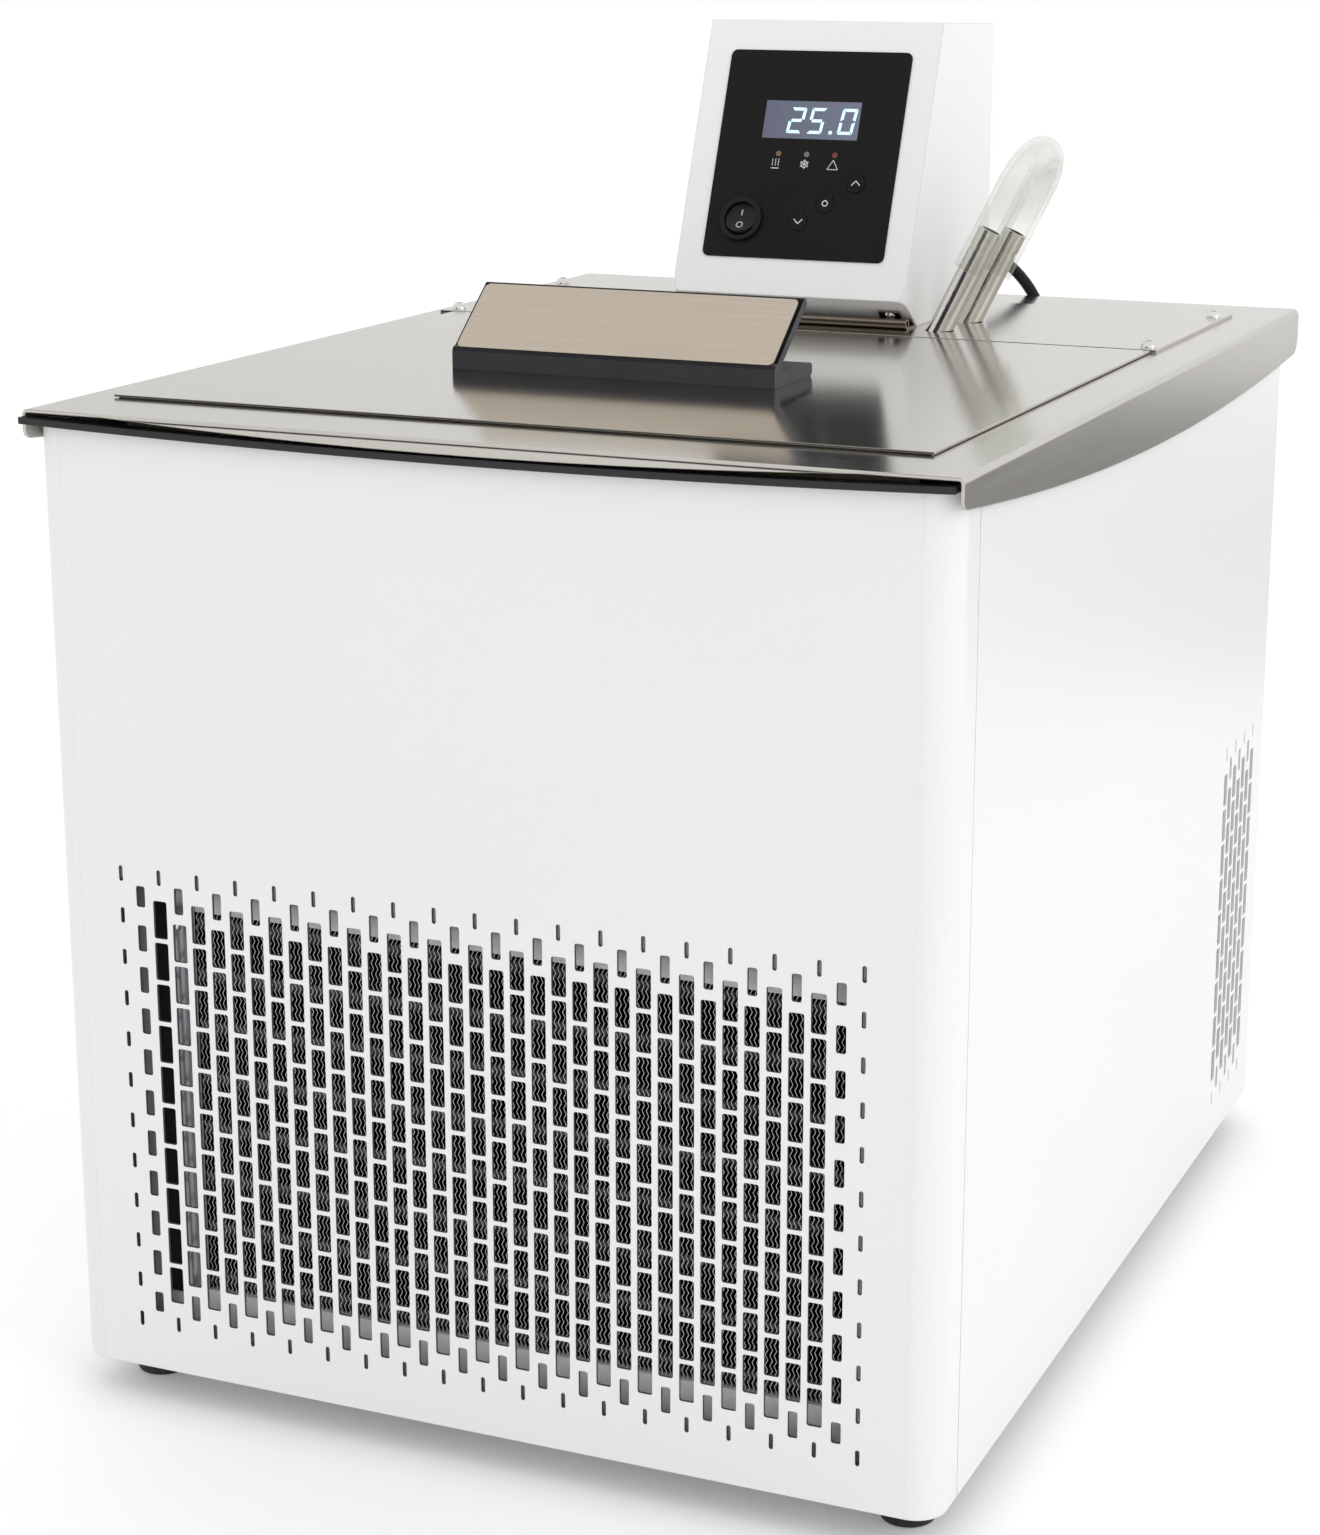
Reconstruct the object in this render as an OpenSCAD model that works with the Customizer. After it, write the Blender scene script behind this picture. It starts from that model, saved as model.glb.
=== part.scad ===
// Bench-top refrigerated circulator: a cooled bath in a white sheet casing, with a folded steel
// deck, a lift-off lid and a control head that stands on a bridge plate over the bath.
// Millimetres. +Z up, the front panel faces -Y, the feet stand on Z = 0.

/* [Casing] */
// Width over the two side panels
body_w = 432.4; // [424:0.4:460]
// Depth from the front panel's face to the rear panel's face
body_d = 561; // [556:1:600]
// Clear height under the casing
foot_h = 17.8; // [14:0.2:24]
// Height of the deck's upper face above the ground
deck_z = 472.6; // [462:0.2:500]
// Thickness of the casing and deck sheets
sheet = 1.5; // [1.2:0.1:1.8]
// Outer radius of the front panel's upright corners
corner_r = 14.5; // [8:0.5:20]
// How far the front panel returns along the side
front_return = 28; // [22:1:40]
// Gap at the seam between the front return and the side panel
seam_gap = 0.6; // [0.3:0.1:1]
// Foot diameter
foot_d = 26; // [20:1:32]
// Distance of a foot's centre from the casing's side face
foot_inset_x = 24.5; // [20:0.5:40]
// Distance of a foot's centre from the front and the rear face
foot_inset_y = 34.9; // [24:0.1:50]

/* [Front grille and side vents] */
// Distance between neighbouring columns of slots
col_pitch = 10; // [9:0.1:10.3]
// Distance between slots in one column
row_pitch = 20; // [19:0.1:20.5]
// Width of a full slot
slot_w = 7; // [5:0.1:8]
// Height of a full slot
slot_h = 17.9; // [14:0.1:18.2]
// Width of a half-faded slot
mid_w = 4.5; // [3:0.1:6]
// Height of a half-faded slot
mid_h = 12.4; // [8:0.1:15]
// Width of the smallest slot
tiny_w = 2; // [1.4:0.1:3]
// Height of the smallest slot
tiny_h = 7.4; // [5:0.1:10]
// Height of the top row of slots above the ground
grille_z = 262.4; // [256:0.2:270]
// Distance from the casing's front face to the side vent's first column
vent_y = 477; // [460:1:480]
// Height of the side vent's first full slot above the ground
vent_z = 222.2; // [210:0.2:240]

/* [Deck] */
// Gap between the casing's side face and the deck's skirt
skirt_gap = 1.2; // [0.8:0.1:2]
// How far the deck reaches back from the front panel's face
deck_back = 590; // [584:1:610]
// Outer bend radius of the deck's folds
bend_r = 2.5; // [2.2:0.1:3]
// Skirt height at its front end
skirt_front = 13; // [11:0.5:16]
// Skirt height where it is deepest
skirt_deep = 32.2; // [28:0.2:36]
// Depth of the front fold in the middle
fold_deep = 6; // [5:0.1:6.2]
// Half length of the front fold
fold_half = 187; // [170:1:190]
// Height of the black edge trim
trim_h = 3; // [2.6:0.1:3.2]
// How far the trim stands out in front of the panel
trim_out = 4.8; // [4:0.1:5.6]
// How much the trim and the panel's top edge sag in the middle
trim_sag = 3.6; // [2.6:0.1:4]

/* [Bath and lid] */
// Inner width of the bath tank
bath_w = 350; // [330:1:356]
// Inner length of the bath tank
bath_l = 450; // [440:1:456]
// Inner depth of the bath tank below the deck sheet
bath_depth = 180; // [172:1:188]
// Tank wall thickness
tank_t = 1; // [0.8:0.1:1.4]
// Corner radius of the tank
bath_r = 20; // [12:1:30]
// Insulation thickness around the tank
foam_t = 15; // [10:1:17]
// Width of the lid
lid_w = 391; // [384:1:394]
// Depth of the lid from front to back
lid_d = 333; // [328:1:334]
// Distance from the casing's front face to the lid's front edge
lid_y = 43; // [40:0.5:44]
// Thickness of the lid's sheet
lid_t = 1.5; // [1.3:0.1:2]
// Depth of the rim that hangs below the lid
tray_h = 10; // [6:0.5:14]
// Clearance between the lid's rim and the deck opening
tray_gap = 3; // [2:0.1:4]

/* [Lid handle] */
// Length of the handle
handle_w = 165.6; // [150:0.4:180]
// Depth of the handle's foot
handle_d = 48; // [44:0.5:54]
// Thickness of the handle's foot
handle_foot = 6.5; // [5:0.1:8]
// Height of the handle's upright front face
handle_front = 11.3; // [10:0.1:13]
// Length of the slanted grip
grip_l = 42; // [36:0.5:46]
// Angle of the slanted grip from the horizontal
grip_angle = 38; // [34:0.5:42]
// Thickness of the slanted grip
grip_t = 4.6; // [4:0.1:6]
// Thickness of the steel face plate
plate_t = 0.8; // [0.5:0.1:1.2]
// Distance of the face plate's edge from the grip's edge
plate_inset = 1.8; // [1:0.1:3]

/* [Bridge plate] */
// Width of the bridge plate
bridge_w = 403; // [398:1:408]
// Depth of the bridge plate
bridge_d = 159; // [156:1:164]
// Gap between the lid's rear edge and the bridge plate
bridge_gap = 3; // [2:0.1:4]
// Head diameter of the dome screws
dome_d = 8.4; // [7:0.1:9.5]
// Head height of the dome screws
dome_h = 3.5; // [2.6:0.1:4]

/* [Control head] */
// Width of the head
head_w = 132; // [128:0.5:138]
// Wall thickness of the head
head_t = 2.5; // [2:0.1:3]
// Lean of the head's face from the upright
face_lean = 21.8; // [19:0.1:24]
// Length of the face along its slope
face_l = 151; // [148:0.5:156]
// Depth of the head's flat top
head_top = 89; // [84:0.5:92]
// Radius of the head's upright edges
head_r = 5; // [3:0.5:8]
// Half width of the dark control foil
foil_half = 51.5; // [49:0.5:56]
// Height of the control foil along the slope
foil_l = 114.3; // [110:0.1:120]
// Thickness of the control foil
foil_t = 0.8; // [0.5:0.1:1.2]
// Width of the display window
display_w = 54; // [50:0.5:58]
// Height of the display window
display_l = 20.7; // [18:0.1:23]
// Diameter of a key
key_d = 10; // [9:0.1:11]
// Travel of a key
key_travel = 0.5; // [0.3:0.1:0.8]
// Diameter of a status light
led_d = 3; // [2.4:0.1:3.4]
// Outer diameter of the switch's bezel
bezel_d = 23.4; // [22:0.1:25]
// Diameter of the round rocker
rocker_d = 17.8; // [16.4:0.1:18.2]
// Clearance between the rocker and its bezel
rocker_gap = 0.25; // [0.15:0.05:0.4]
// Tilt of the pressed rocker from its middle position
rocker_tilt = 12; // [8:1:14]

/* [Nozzles, hose and lead] */
// Outer diameter of a nozzle tube
nozzle_d = 13; // [11:0.1:14]
// Length of a nozzle above the deck
nozzle_l = 60; // [54:0.5:66]
// Lean of the nozzles to the right
nozzle_right = 25.6; // [22:0.1:28]
// Lean of the nozzles to the back
nozzle_back = 5.15; // [3:0.05:7]
// Wall thickness of a nozzle tube
nozzle_t = 1.5; // [1:0.1:2]
// Distance between the axes of the two nozzles
nozzle_gap = 41.2; // [38:0.1:44]
// Outer diameter of the clear hose
hose_d = 18; // [17:0.1:19]
// Diameter of the round lead
lead_d = 6.5; // [5.5:0.1:7.5]

/* [Cooling unit] */
// Width of the finned block
fin_w = 322; // [310:1:324]
// Height of the finned block
fin_h = 189.5; // [186:0.5:192]
// Number of fins
fin_count = 81; // [41:2:91]
// Thickness of a fin
fin_t = 0.4; // [0.3:0.1:0.8]
// Depth of one rank of fins
fin_d = 9; // [6:0.5:12]
// Diameter of a condenser tube
tube_d = 9.5; // [8:0.1:10]
// Height between condenser tube rows
tube_pitch = 25; // [23:0.1:25.4]
// Outer radius of the fan's blades
fan_r = 79.7; // [70:0.5:80]
// Radius of the compressor's pot
pot_r = 62; // [54:1:66]
// Height of the compressor's pot
pot_h = 150; // [130:1:160]

/* [Hidden] */

$fn = 40;
fit = 0.1;            // gap between pieces that are fixed side by side
run_fit = 0.05;       // radial clearance of a shaft in its bore
eps = 0.5;            // how far a cutting tool reaches past a face

white = [0.95, 0.95, 0.96];
steel = [0.72, 0.7, 0.67];
black = [0.08, 0.08, 0.09];
grey = [0.6, 0.6, 0.6];
copper = [0.75, 0.45, 0.3];
alu = [0.8, 0.82, 0.84];
foam = [0.85, 0.8, 0.65];
clear = [0.85, 0.88, 0.85];

// Overall depth, from the trim's front to the lead behind the deck, centred on Y = 0
lead_gap = 0.3;
reach_back = deck_back + lead_gap + lead_d;
front_y = -(reach_back + trim_out) / 2 + trim_out;
module at() translate([0, front_y, 0]) children();

half_w = body_w / 2;
floor_z = foot_h + sheet;
under_deck = deck_z - sheet;
skirt_x = half_w + skirt_gap + sheet;
pan_x = half_w - sheet - fit;
pan_y0 = sheet + fit;
pan_y1 = body_d - sheet - fit;
pan_h = 18;
deck_front = -1.5;
fold_out = deck_front - bend_r + 0.5;
flat_half = half_w - corner_r;

// Heights of the trim's lower and upper edge at its ends
trim_low = deck_z - 6.3;
trim_top = trim_low + trim_h;
function sag(x, half, deep) = deep * (1 - pow(x / half, 2));

// Places of the bath
bath_x = -6;
bath_y = 61;
bath_z = under_deck - bath_depth;
rim_w = 10;
rim_t = 1;
lip = 3;
open_w = bath_w - 2 * lip;
open_l = bath_l - 2 * lip;
foam_z = bath_z - tank_t - foam_t;
shelf_z = foam_z - sheet;
lid_x = -4.5;
bridge_x = -8;
bridge_y = lid_y + lid_d + bridge_gap;
bridge_top = deck_z + sheet;
screw_dx = bridge_w / 2 - 6.5;
screw_y0 = bridge_y + 10;
screw_y1 = bridge_y + bridge_d - 16;

// Places of the head
head_x = -13.3;
head_y = bridge_y + 19;
head_z = deck_z + 16.4;
face_run = face_l * sin(face_lean);
face_rise = face_l * cos(face_lean);
bevel_back = 21;
head_back = head_y + face_run + head_top;
face_deg = 90 - face_lean;
module on_face() translate([head_x, head_y, head_z]) rotate([face_deg, 0, 0]) children();
foil_low = 20;
foil_r = 3.5;
display_low = 85.8;
led_up = 77.3;
led_step = 16;
switch_at = [-31.6, 40.4];
up_at = [30.1, 62.4];
select_at = [14.4, 50.9];
down_at = [0.6, 40.6];
board_back = 9;

// Places of the nozzles and of the pump below them
nozzle_x = 68.6;
nozzle_y = bridge_y + 28.6;
pair_turn = -3;
hose_low = 36.4;
hose_up = 84.5;
hose_r = nozzle_gap / 2;
hose_bore = nozzle_d / 2 + run_fit;
module on_nozzle() translate([nozzle_x, nozzle_y, deck_z])
  rotate([-nozzle_back, nozzle_right, 0]) rotate([0, 0, pair_turn]) children();
pump_y = bridge_y + 82;
pump_z = deck_z - 150;
heater_x = head_x - 47;
heater_y = pump_y + 25;
heater_r = 10;
probe_y = pump_y - 20;
pump_r = 30;
pump_h = 24;
shaft_r = 4;
spout_low = -148;
spout_high = -128;

// Places in the cooling unit
cond_x = 11;
cond_y = 13.5;
cond_z = grille_z - 205;
cond_front = 11.5;
frame_t = 1.2;
tube_r = tube_d / 2;
tube_y = cond_y + fin_d + 0.2 + tube_r;
tube_rows = 8;
tube_z0 = cond_z + fin_h - 8.6;
cond_x0 = cond_x - fin_w / 2;
cond_x1 = cond_x + fin_w / 2;
cond_back = tube_y + tube_r + 0.2 + fin_d;
fan_x = cond_x;
fan_z = cond_z + fin_h / 2;
shroud_y = cond_back + 14;
ring_r = fan_r + 4.3;
ring_d = 22;
fan_y = shroud_y + 2;
pot_x = -95;
pot_y = 330;
mount_h = 12;
lane_x = half_w - 21;
lane_y = pan_y1 - 14;
line_r = 4;
evap_r = 4;
evap_y = bath_y + bath_l - 12;
evap_rows = 7;
evap_pitch = 22;
evap_x0 = bath_x - 144;
evap_x1 = bath_x + 146;
evap_z0 = deck_z - 30;
drain_x = -150;
drain_y = bath_y + bath_l - 60;
drain_z = foot_h + 48;
inlet_x = 150;
inlet_z = foot_h + 80;
plug_x = 90;
plug_z = deck_z - 98;

// The lead's route: out of the head, over the deck's rear edge, down to its plug
lead_y = deck_back + lead_gap + lead_d / 2;
gland_l = 22;
gland_z = deck_z + 35;
plug_y = body_d + 19;
lead_path = [
  [12, head_back - 4, gland_z], [12, head_back + 8, gland_z], [12, head_back + 19, gland_z],
  [14.5, head_back + 29, gland_z - 1], [22, head_back + 38.5, gland_z - 4],
  [34, lead_y - 5, gland_z - 9.5], [47, lead_y - 1, gland_z - 17.5],
  [58, lead_y, gland_z - 28], [66, lead_y, gland_z - 40], [72.5, lead_y, gland_z - 54],
  [80, lead_y - 0.5, gland_z - 68], [86, lead_y - 4, gland_z - 79],
  [89, plug_y + 6, gland_z - 89], [plug_x, plug_y + 1.5, gland_z - 96],
  [plug_x, plug_y, gland_z - 101], [plug_x, plug_y, gland_z - 110], [plug_x, plug_y, plug_z + 9]];

// Helpers
module rod(a, b, r, f = 20) {
  v = b - a;
  l = norm(v);
  translate(a) rotate([0, acos(v[2] / l), atan2(v[1], v[0])]) cylinder(h = l, r = r, $fn = f);
}
module pipe(points, r) {
  for (i = [0 : len(points) - 2]) rod(points[i], points[i + 1], r);
  for (i = [1 : len(points) - 2]) translate(points[i]) sphere(r = r * 1.05, $fn = 24);
}
module round_rect(w, l, r) {
  square([w - 2 * r, l], center = true);
  square([w, l - 2 * r], center = true);
  for (sx = [-1, 1], sy = [-1, 1])
    translate([sx * (w / 2 - r), sy * (l / 2 - r)]) circle(r = r);
}
module bend(l, r, t) {
  // a quarter round fold that runs along +Y, from its flat top down to its outer right side
  translate([0, 0, -r]) intersection() {
    rotate([-90, 0, 0]) difference() {
      cylinder(h = l, r = r);
      translate([0, 0, -eps]) cylinder(h = l + 2 * eps, r = r - t);
    }
    translate([0, -eps, 0]) cube([r + eps, l + 2 * eps, r + eps]);
  }
}
module dome(d, h) {
  // a button screw head with its hexagon socket, standing on z = 0
  ball = (pow(d / 2, 2) + h * h) / (2 * h);
  difference() {
    intersection() {
      translate([0, 0, h - ball]) sphere(r = ball, $fn = 48);
      cylinder(h = h + 1, r = d / 2, $fn = 32);
    }
    translate([0, 0, h - 1.8]) cylinder(h = 3, r = d * 0.2, $fn = 6);
  }
}

// Slots
module slot(x, z, w, h) translate([x, z]) square([w, h], center = true);
module grille_slots() {
  half = 18;
  rows = 11;
  for (c = [0 : 2 * half]) {
    x = (c - half) * col_pitch;
    odd = c % 2;
    for (k = [0 : rows - odd]) {
      z = grille_z - (k + odd / 2) * row_pitch;
      side_end = c == odd || c == 2 * half - odd;
      row_end = k == 0 || k == rows - odd;
      if (odd == 0) {
        if (side_end || row_end) slot(x, z, tiny_w, tiny_h);
        else slot(x, z, slot_w, slot_h);
      } else {
        if (side_end && row_end) slot(x, z, mid_w, mid_h * 0.8);
        else if (side_end || row_end) slot(x, z, mid_w, mid_h);
        else slot(x, z, slot_w, slot_h);
      }
    }
  }
}
module vent_slots() {
  for (c = [0 : 6]) {
    y = vent_y + c * col_pitch;
    odd = c % 2;
    full = 8 - odd;
    for (k = [0 : full]) slot(y, vent_z - (k + odd / 2) * row_pitch, slot_w, slot_h);
    slot(y, vent_z - (odd / 2 - 1) * row_pitch, mid_w, mid_h);
    slot(y, vent_z - (full + odd / 2 + 1) * row_pitch, mid_w, mid_h);
    slot(y, vent_z - (odd / 2 - 2) * row_pitch + 5, tiny_w, tiny_h);
    slot(y, vent_z - (full + odd / 2 + 2) * row_pitch - 5, tiny_w, tiny_h);
  }
}

// Casing
module tray_plan(x, y0, y1, r) {
  // a floor outline whose two front corners are round
  translate([-x, y0 + r]) square([2 * x, y1 - y0 - r]);
  translate([-x + r, y0]) square([2 * (x - r), r + 1]);
  for (sx = [-1, 1]) translate([sx * (x - r), y0 + r]) circle(r = r);
}
tray_r = corner_r - sheet - fit;
module base_pan() color(grey) at() difference() {
  translate([0, 0, foot_h]) linear_extrude(height = pan_h) tray_plan(pan_x, pan_y0, pan_y1, tray_r);
  translate([0, 0, floor_z]) linear_extrude(height = pan_h)
    tray_plan(pan_x - sheet, pan_y0 + sheet, pan_y1 - sheet, tray_r - sheet);
}
module corner_wall(side) {
  top = trim_low - fit - foot_h;
  translate([side * flat_half, corner_r, foot_h]) intersection() {
    difference() {
      cylinder(h = top, r = corner_r);
      translate([0, 0, -eps]) cylinder(h = top + 2 * eps, r = corner_r - sheet);
    }
    translate([side > 0 ? 0 : -corner_r - eps, -corner_r - eps, 0])
      cube([corner_r + eps, corner_r + eps, top]);
  }
  translate([side > 0 ? half_w - sheet : -half_w, corner_r, foot_h])
    cube([sheet, front_return - corner_r, top]);
}
module front_panel() color(white) at() {
  steps = 24;
  edge = [for (i = [0 : steps]) let (x = flat_half * (1 - 2 * i / steps))
    [x, trim_top - 1.2 - sag(x, half_w, trim_sag)]];
  translate([0, sheet, 0]) rotate([90, 0, 0]) linear_extrude(height = sheet) difference() {
    polygon(concat([[-flat_half, foot_h], [flat_half, foot_h]], edge));
    grille_slots();
  }
  for (side = [-1, 1]) corner_wall(side);
}
// points along the trim's lower or upper edge between two places
function run(a, b, up, gap) = [for (i = [0 : 24]) let (x = a + (b - a) * i / 24)
  [x, trim_low - sag(x, half_w, trim_sag) + (up ? trim_h - gap : gap)]];
module front_trim() color(black) at() {
  left = skirt_x;
  right = skirt_x - sheet - 1.4;
  inner = skirt_x - sheet - 0.3;
  // the front band
  translate([0, -1.8, 0]) rotate([90, 0, 0]) linear_extrude(height = trim_out - 1.8)
    polygon(concat(run(-left, right, false, 0), run(right, -left, true, 0)));
  // the part that grips the panel's edge
  difference() {
    translate([0, 3, 0]) rotate([90, 0, 0]) linear_extrude(height = 4.8)
      polygon(concat(run(-inner, right, false, 0), run(right, -inner, true, 0)));
    translate([0, sheet + fit / 2, 0]) rotate([90, 0, 0]) linear_extrude(height = sheet + fit)
      polygon(concat(run(-flat_half - 0.3, flat_half + 0.3, false, -eps),
        run(flat_half + 0.3, -flat_half - 0.3, true, 1.1)));
  }
}
module side_panel(side) {
  x = side > 0 ? half_w - sheet : -half_w;
  y0 = front_return + seam_gap;
  translate([x, 0, 0]) rotate([90, 0, 90]) linear_extrude(height = sheet) difference() {
    translate([y0, foot_h]) square([body_d - y0, under_deck - foot_h]);
    vent_slots();
  }
}
module side_panel_left() color(white) at() side_panel(-1);
module side_panel_right() color(white) at() side_panel(1);
module rear_panel() color(white) at() translate([0, body_d, 0]) rotate([90, 0, 0])
  linear_extrude(height = sheet) difference() {
    translate([-pan_x, foot_h]) square([2 * pan_x, under_deck - foot_h]);
    for (sx = [-1, 1], k = [0 : 8]) slot(sx * 52 - 20, foot_h + 100 + 14 * k, 84, 5);
    slot(inlet_x, inlet_z, 30 + fit, 24 + fit);
    translate([drain_x, drain_z]) circle(r = 8 + fit);
    translate([plug_x, plug_z]) circle(r = 8 + fit);
  }
module foot() rotate_extrude() polygon([[0, 0], [foot_d / 2 - 2.5, 0], [foot_d / 2 - 0.8, 0.8],
  [foot_d / 2, 2.6], [foot_d / 2, foot_h], [0, foot_h]]);
module feet() color(black) at()
  for (sx = [-1, 1], y = [foot_inset_y, body_d - foot_inset_y])
    translate([sx * (half_w - foot_inset_x), y, 0]) foot();
module tank_shelf() color(grey) at() difference() {
  translate([0, 0, shelf_z - 14]) linear_extrude(height = 14 + sheet)
    tray_plan(pan_x, pan_y0, bath_y + bath_l + 22, tray_r);
  translate([0, 0, shelf_z - 14 - eps]) linear_extrude(height = 14 + eps)
    tray_plan(pan_x - sheet, pan_y0 + sheet, bath_y + bath_l + 30, tray_r - sheet);
  translate([drain_x, drain_y, shelf_z - eps]) cylinder(h = 5, r = 8 + 1);
}

// Deck
module deck_skirt() {
  // seen along X: the folded side skirt with its bowed lower edge
  low = deck_z - skirt_deep;
  y_low = 355;
  y0 = deck_front;
  y1 = deck_back;
  rise = skirt_deep - skirt_front;
  k = rise / pow(y_low - y0, 2);
  steps = 20;
  r = 9;
  function edge(y) = low + k * pow(y - y_low, 2);
  polygon(concat([[y1, deck_z - bend_r], [y0, deck_z - bend_r], [y0, edge(y0) + 3],
    [y0 + 1, edge(y0) + 0.9], [y0 + 3, edge(y0 + 3)]],
    [for (i = [1 : steps]) let (y = y0 + 3 + (y1 - r - y0 - 3) * i / steps) [y, edge(y)]],
    [for (a = [15 : 15 : 90]) [y1 - r + r * sin(a), edge(y1 - r) + r * (1 - cos(a))]]));
}
module deck_sheet() color(steel) at() {
  top_x = skirt_x - bend_r;
  difference() {
    translate([-top_x, deck_front, under_deck])
      cube([2 * top_x, deck_back - deck_front - bend_r, sheet]);
    translate([bath_x, bath_y + bath_l / 2, under_deck - eps])
      linear_extrude(height = sheet + 2 * eps) round_rect(open_w, open_l, bath_r - lip);
  }
  // side folds and skirts
  for (side = [0, 1]) mirror([side, 0, 0]) {
    translate([top_x, deck_front, deck_z]) bend(deck_back - deck_front - bend_r, bend_r, sheet);
    translate([skirt_x - sheet, 0, 0]) rotate([90, 0, 90]) linear_extrude(height = sheet)
      deck_skirt();
  }
  // rear fold and flange
  translate([-top_x, deck_back - bend_r, deck_z]) rotate([0, 0, 90]) mirror([0, 1, 0])
    bend(2 * top_x, bend_r, sheet);
  translate([-top_x, deck_back - sheet, deck_z - 15]) cube([2 * top_x, sheet, 15 - bend_r]);
  // front fold, which deepens to the middle
  fold_r = deck_front - fold_out;
  intersection() {
    union() {
      translate([-fold_half, deck_front, deck_z]) rotate([0, 0, -90])
        bend(2 * fold_half, fold_r, sheet);
      translate([-fold_half, fold_out, deck_z - fold_deep - 1])
        cube([2 * fold_half, sheet, fold_deep + 1 - fold_r]);
    }
    translate([0, deck_front + eps, 0]) rotate([90, 0, 0]) linear_extrude(height = 10)
      polygon(concat([[fold_half, deck_z + 1], [-fold_half, deck_z + 1]],
        [for (i = [0 : 24]) let (x = fold_half * (i / 12 - 1))
          [x, deck_z - 0.4 - sag(x, fold_half, fold_deep - 0.4)]]));
  }
}
module bridge_plate() color(steel) at() difference() {
  translate([bridge_x - bridge_w / 2, bridge_y, deck_z]) cube([bridge_w, bridge_d, sheet]);
  on_nozzle() for (y = [0, nozzle_gap]) translate([0, y, -20])
    cylinder(h = 40, r = nozzle_d / 2 + 0.6);
  translate([head_x, pump_y, deck_z - eps]) cylinder(h = 4, r = shaft_r + 1);
  for (sx = [-1, 1]) translate([heater_x + sx * heater_r, heater_y, deck_z - eps])
    cylinder(h = 4, r = 4 + fit);
  translate([heater_x, probe_y, deck_z - eps]) cylinder(h = 4, r = 3 + fit);
}
module bridge_screws() color(steel) at()
  for (sx = [-1, 1], y = [screw_y0, screw_y1])
    translate([bridge_x + sx * screw_dx, y, bridge_top]) dome(dome_d, dome_h);

// Bath
module bath_tank() color(steel) at() translate([bath_x, bath_y + bath_l / 2, 0]) difference() {
  union() {
    translate([0, 0, bath_z - tank_t]) linear_extrude(height = bath_depth + tank_t - rim_t)
      round_rect(bath_w + 2 * tank_t, bath_l + 2 * tank_t, bath_r + tank_t);
    translate([0, 0, under_deck - rim_t]) linear_extrude(height = rim_t)
      round_rect(bath_w + 2 * rim_w, bath_l + 2 * rim_w, bath_r + rim_w);
  }
  translate([0, 0, bath_z]) linear_extrude(height = bath_depth + eps)
    round_rect(bath_w, bath_l, bath_r);
  translate([drain_x - bath_x, drain_y - bath_y - bath_l / 2, bath_z - 5])
    cylinder(h = 10, r = 6 + fit);
  for (p = [[evap_x0, evap_z0], [evap_x1, evap_z0 - (evap_rows - 1) * evap_pitch]])
    translate([p[0] - bath_x, 0, p[1]]) rotate([-90, 0, 0]) cylinder(h = bath_l, r = evap_r + fit);
}
module tank_insulation() color(foam) at() difference() {
  translate([bath_x - bath_w / 2 - foam_t, bath_y - foam_t, foam_z])
    cube([bath_w + 2 * foam_t, bath_l + 2 * foam_t, under_deck - rim_t - foam_z]);
  translate([bath_x, bath_y + bath_l / 2, bath_z - tank_t]) linear_extrude(height = bath_depth + 5)
    round_rect(bath_w + 2 * tank_t + 0.4, bath_l + 2 * tank_t + 0.4, bath_r + tank_t + 0.2);
  translate([drain_x, drain_y, foam_z - eps]) cylinder(h = foam_t + 2 * eps, r = 8 + fit);
  for (p = [[evap_x0, evap_z0], [evap_x1, evap_z0 - (evap_rows - 1) * evap_pitch]])
    translate([p[0], bath_y + bath_l / 2, p[1]]) rotate([-90, 0, 0])
      cylinder(h = bath_l, r = evap_r + fit);
}
module serpentine(x0, x1, y, z0, rows, pitch, r, first) {
  // level runs joined by half round bends; first tells on which side the first bend lies
  for (i = [0 : rows - 1]) rod([x0, y, z0 - i * pitch], [x1, y, z0 - i * pitch], r);
  for (i = [0 : rows - 2]) {
    right = (i + first) % 2;
    translate([right == 1 ? x1 : x0, y, z0 - (i + 0.5) * pitch])
      rotate([90, right == 1 ? 90 : -90, 0]) rotate_extrude(angle = 180, $fn = 24)
        translate([pitch / 2, 0]) circle(r = r, $fn = 20);
  }
}
module evaporator_coil() color(copper) at() {
  last = evap_z0 - (evap_rows - 1) * evap_pitch;
  out_y = bath_y + bath_l + foam_t + 12;
  serpentine(evap_x0, evap_x1, evap_y, evap_z0, evap_rows, evap_pitch, evap_r, 1);
  for (p = [[evap_x0, evap_z0], [evap_x1, last]]) {
    translate([p[0], evap_y, p[1]]) sphere(r = evap_r, $fn = 20);
    rod([p[0], evap_y, p[1]], [p[0], out_y, p[1]], evap_r);
  }
}
module drain_tap() color(steel) at() difference() {
  union() {
    translate([drain_x, drain_y, drain_z]) cylinder(h = bath_z - drain_z, r = 6);
    translate([drain_x, drain_y, drain_z]) sphere(r = 8, $fn = 32);
    rod([drain_x, drain_y, drain_z], [drain_x, body_d + 22, drain_z], 8, 32);
    translate([drain_x, body_d, drain_z]) rotate([-90, 0, 0]) cylinder(h = 4, r = 12);
    translate([drain_x, body_d + 13, drain_z]) cylinder(h = 13, r = 6);
  }
  translate([drain_x, drain_y, drain_z]) cylinder(h = bath_depth * 2, r = 4);
  rod([drain_x, drain_y, drain_z], [drain_x, body_d + 23, drain_z], 4, 32);
  translate([drain_x, body_d + 13, drain_z]) cylinder(h = 14, r = 3 + run_fit);
}
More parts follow.
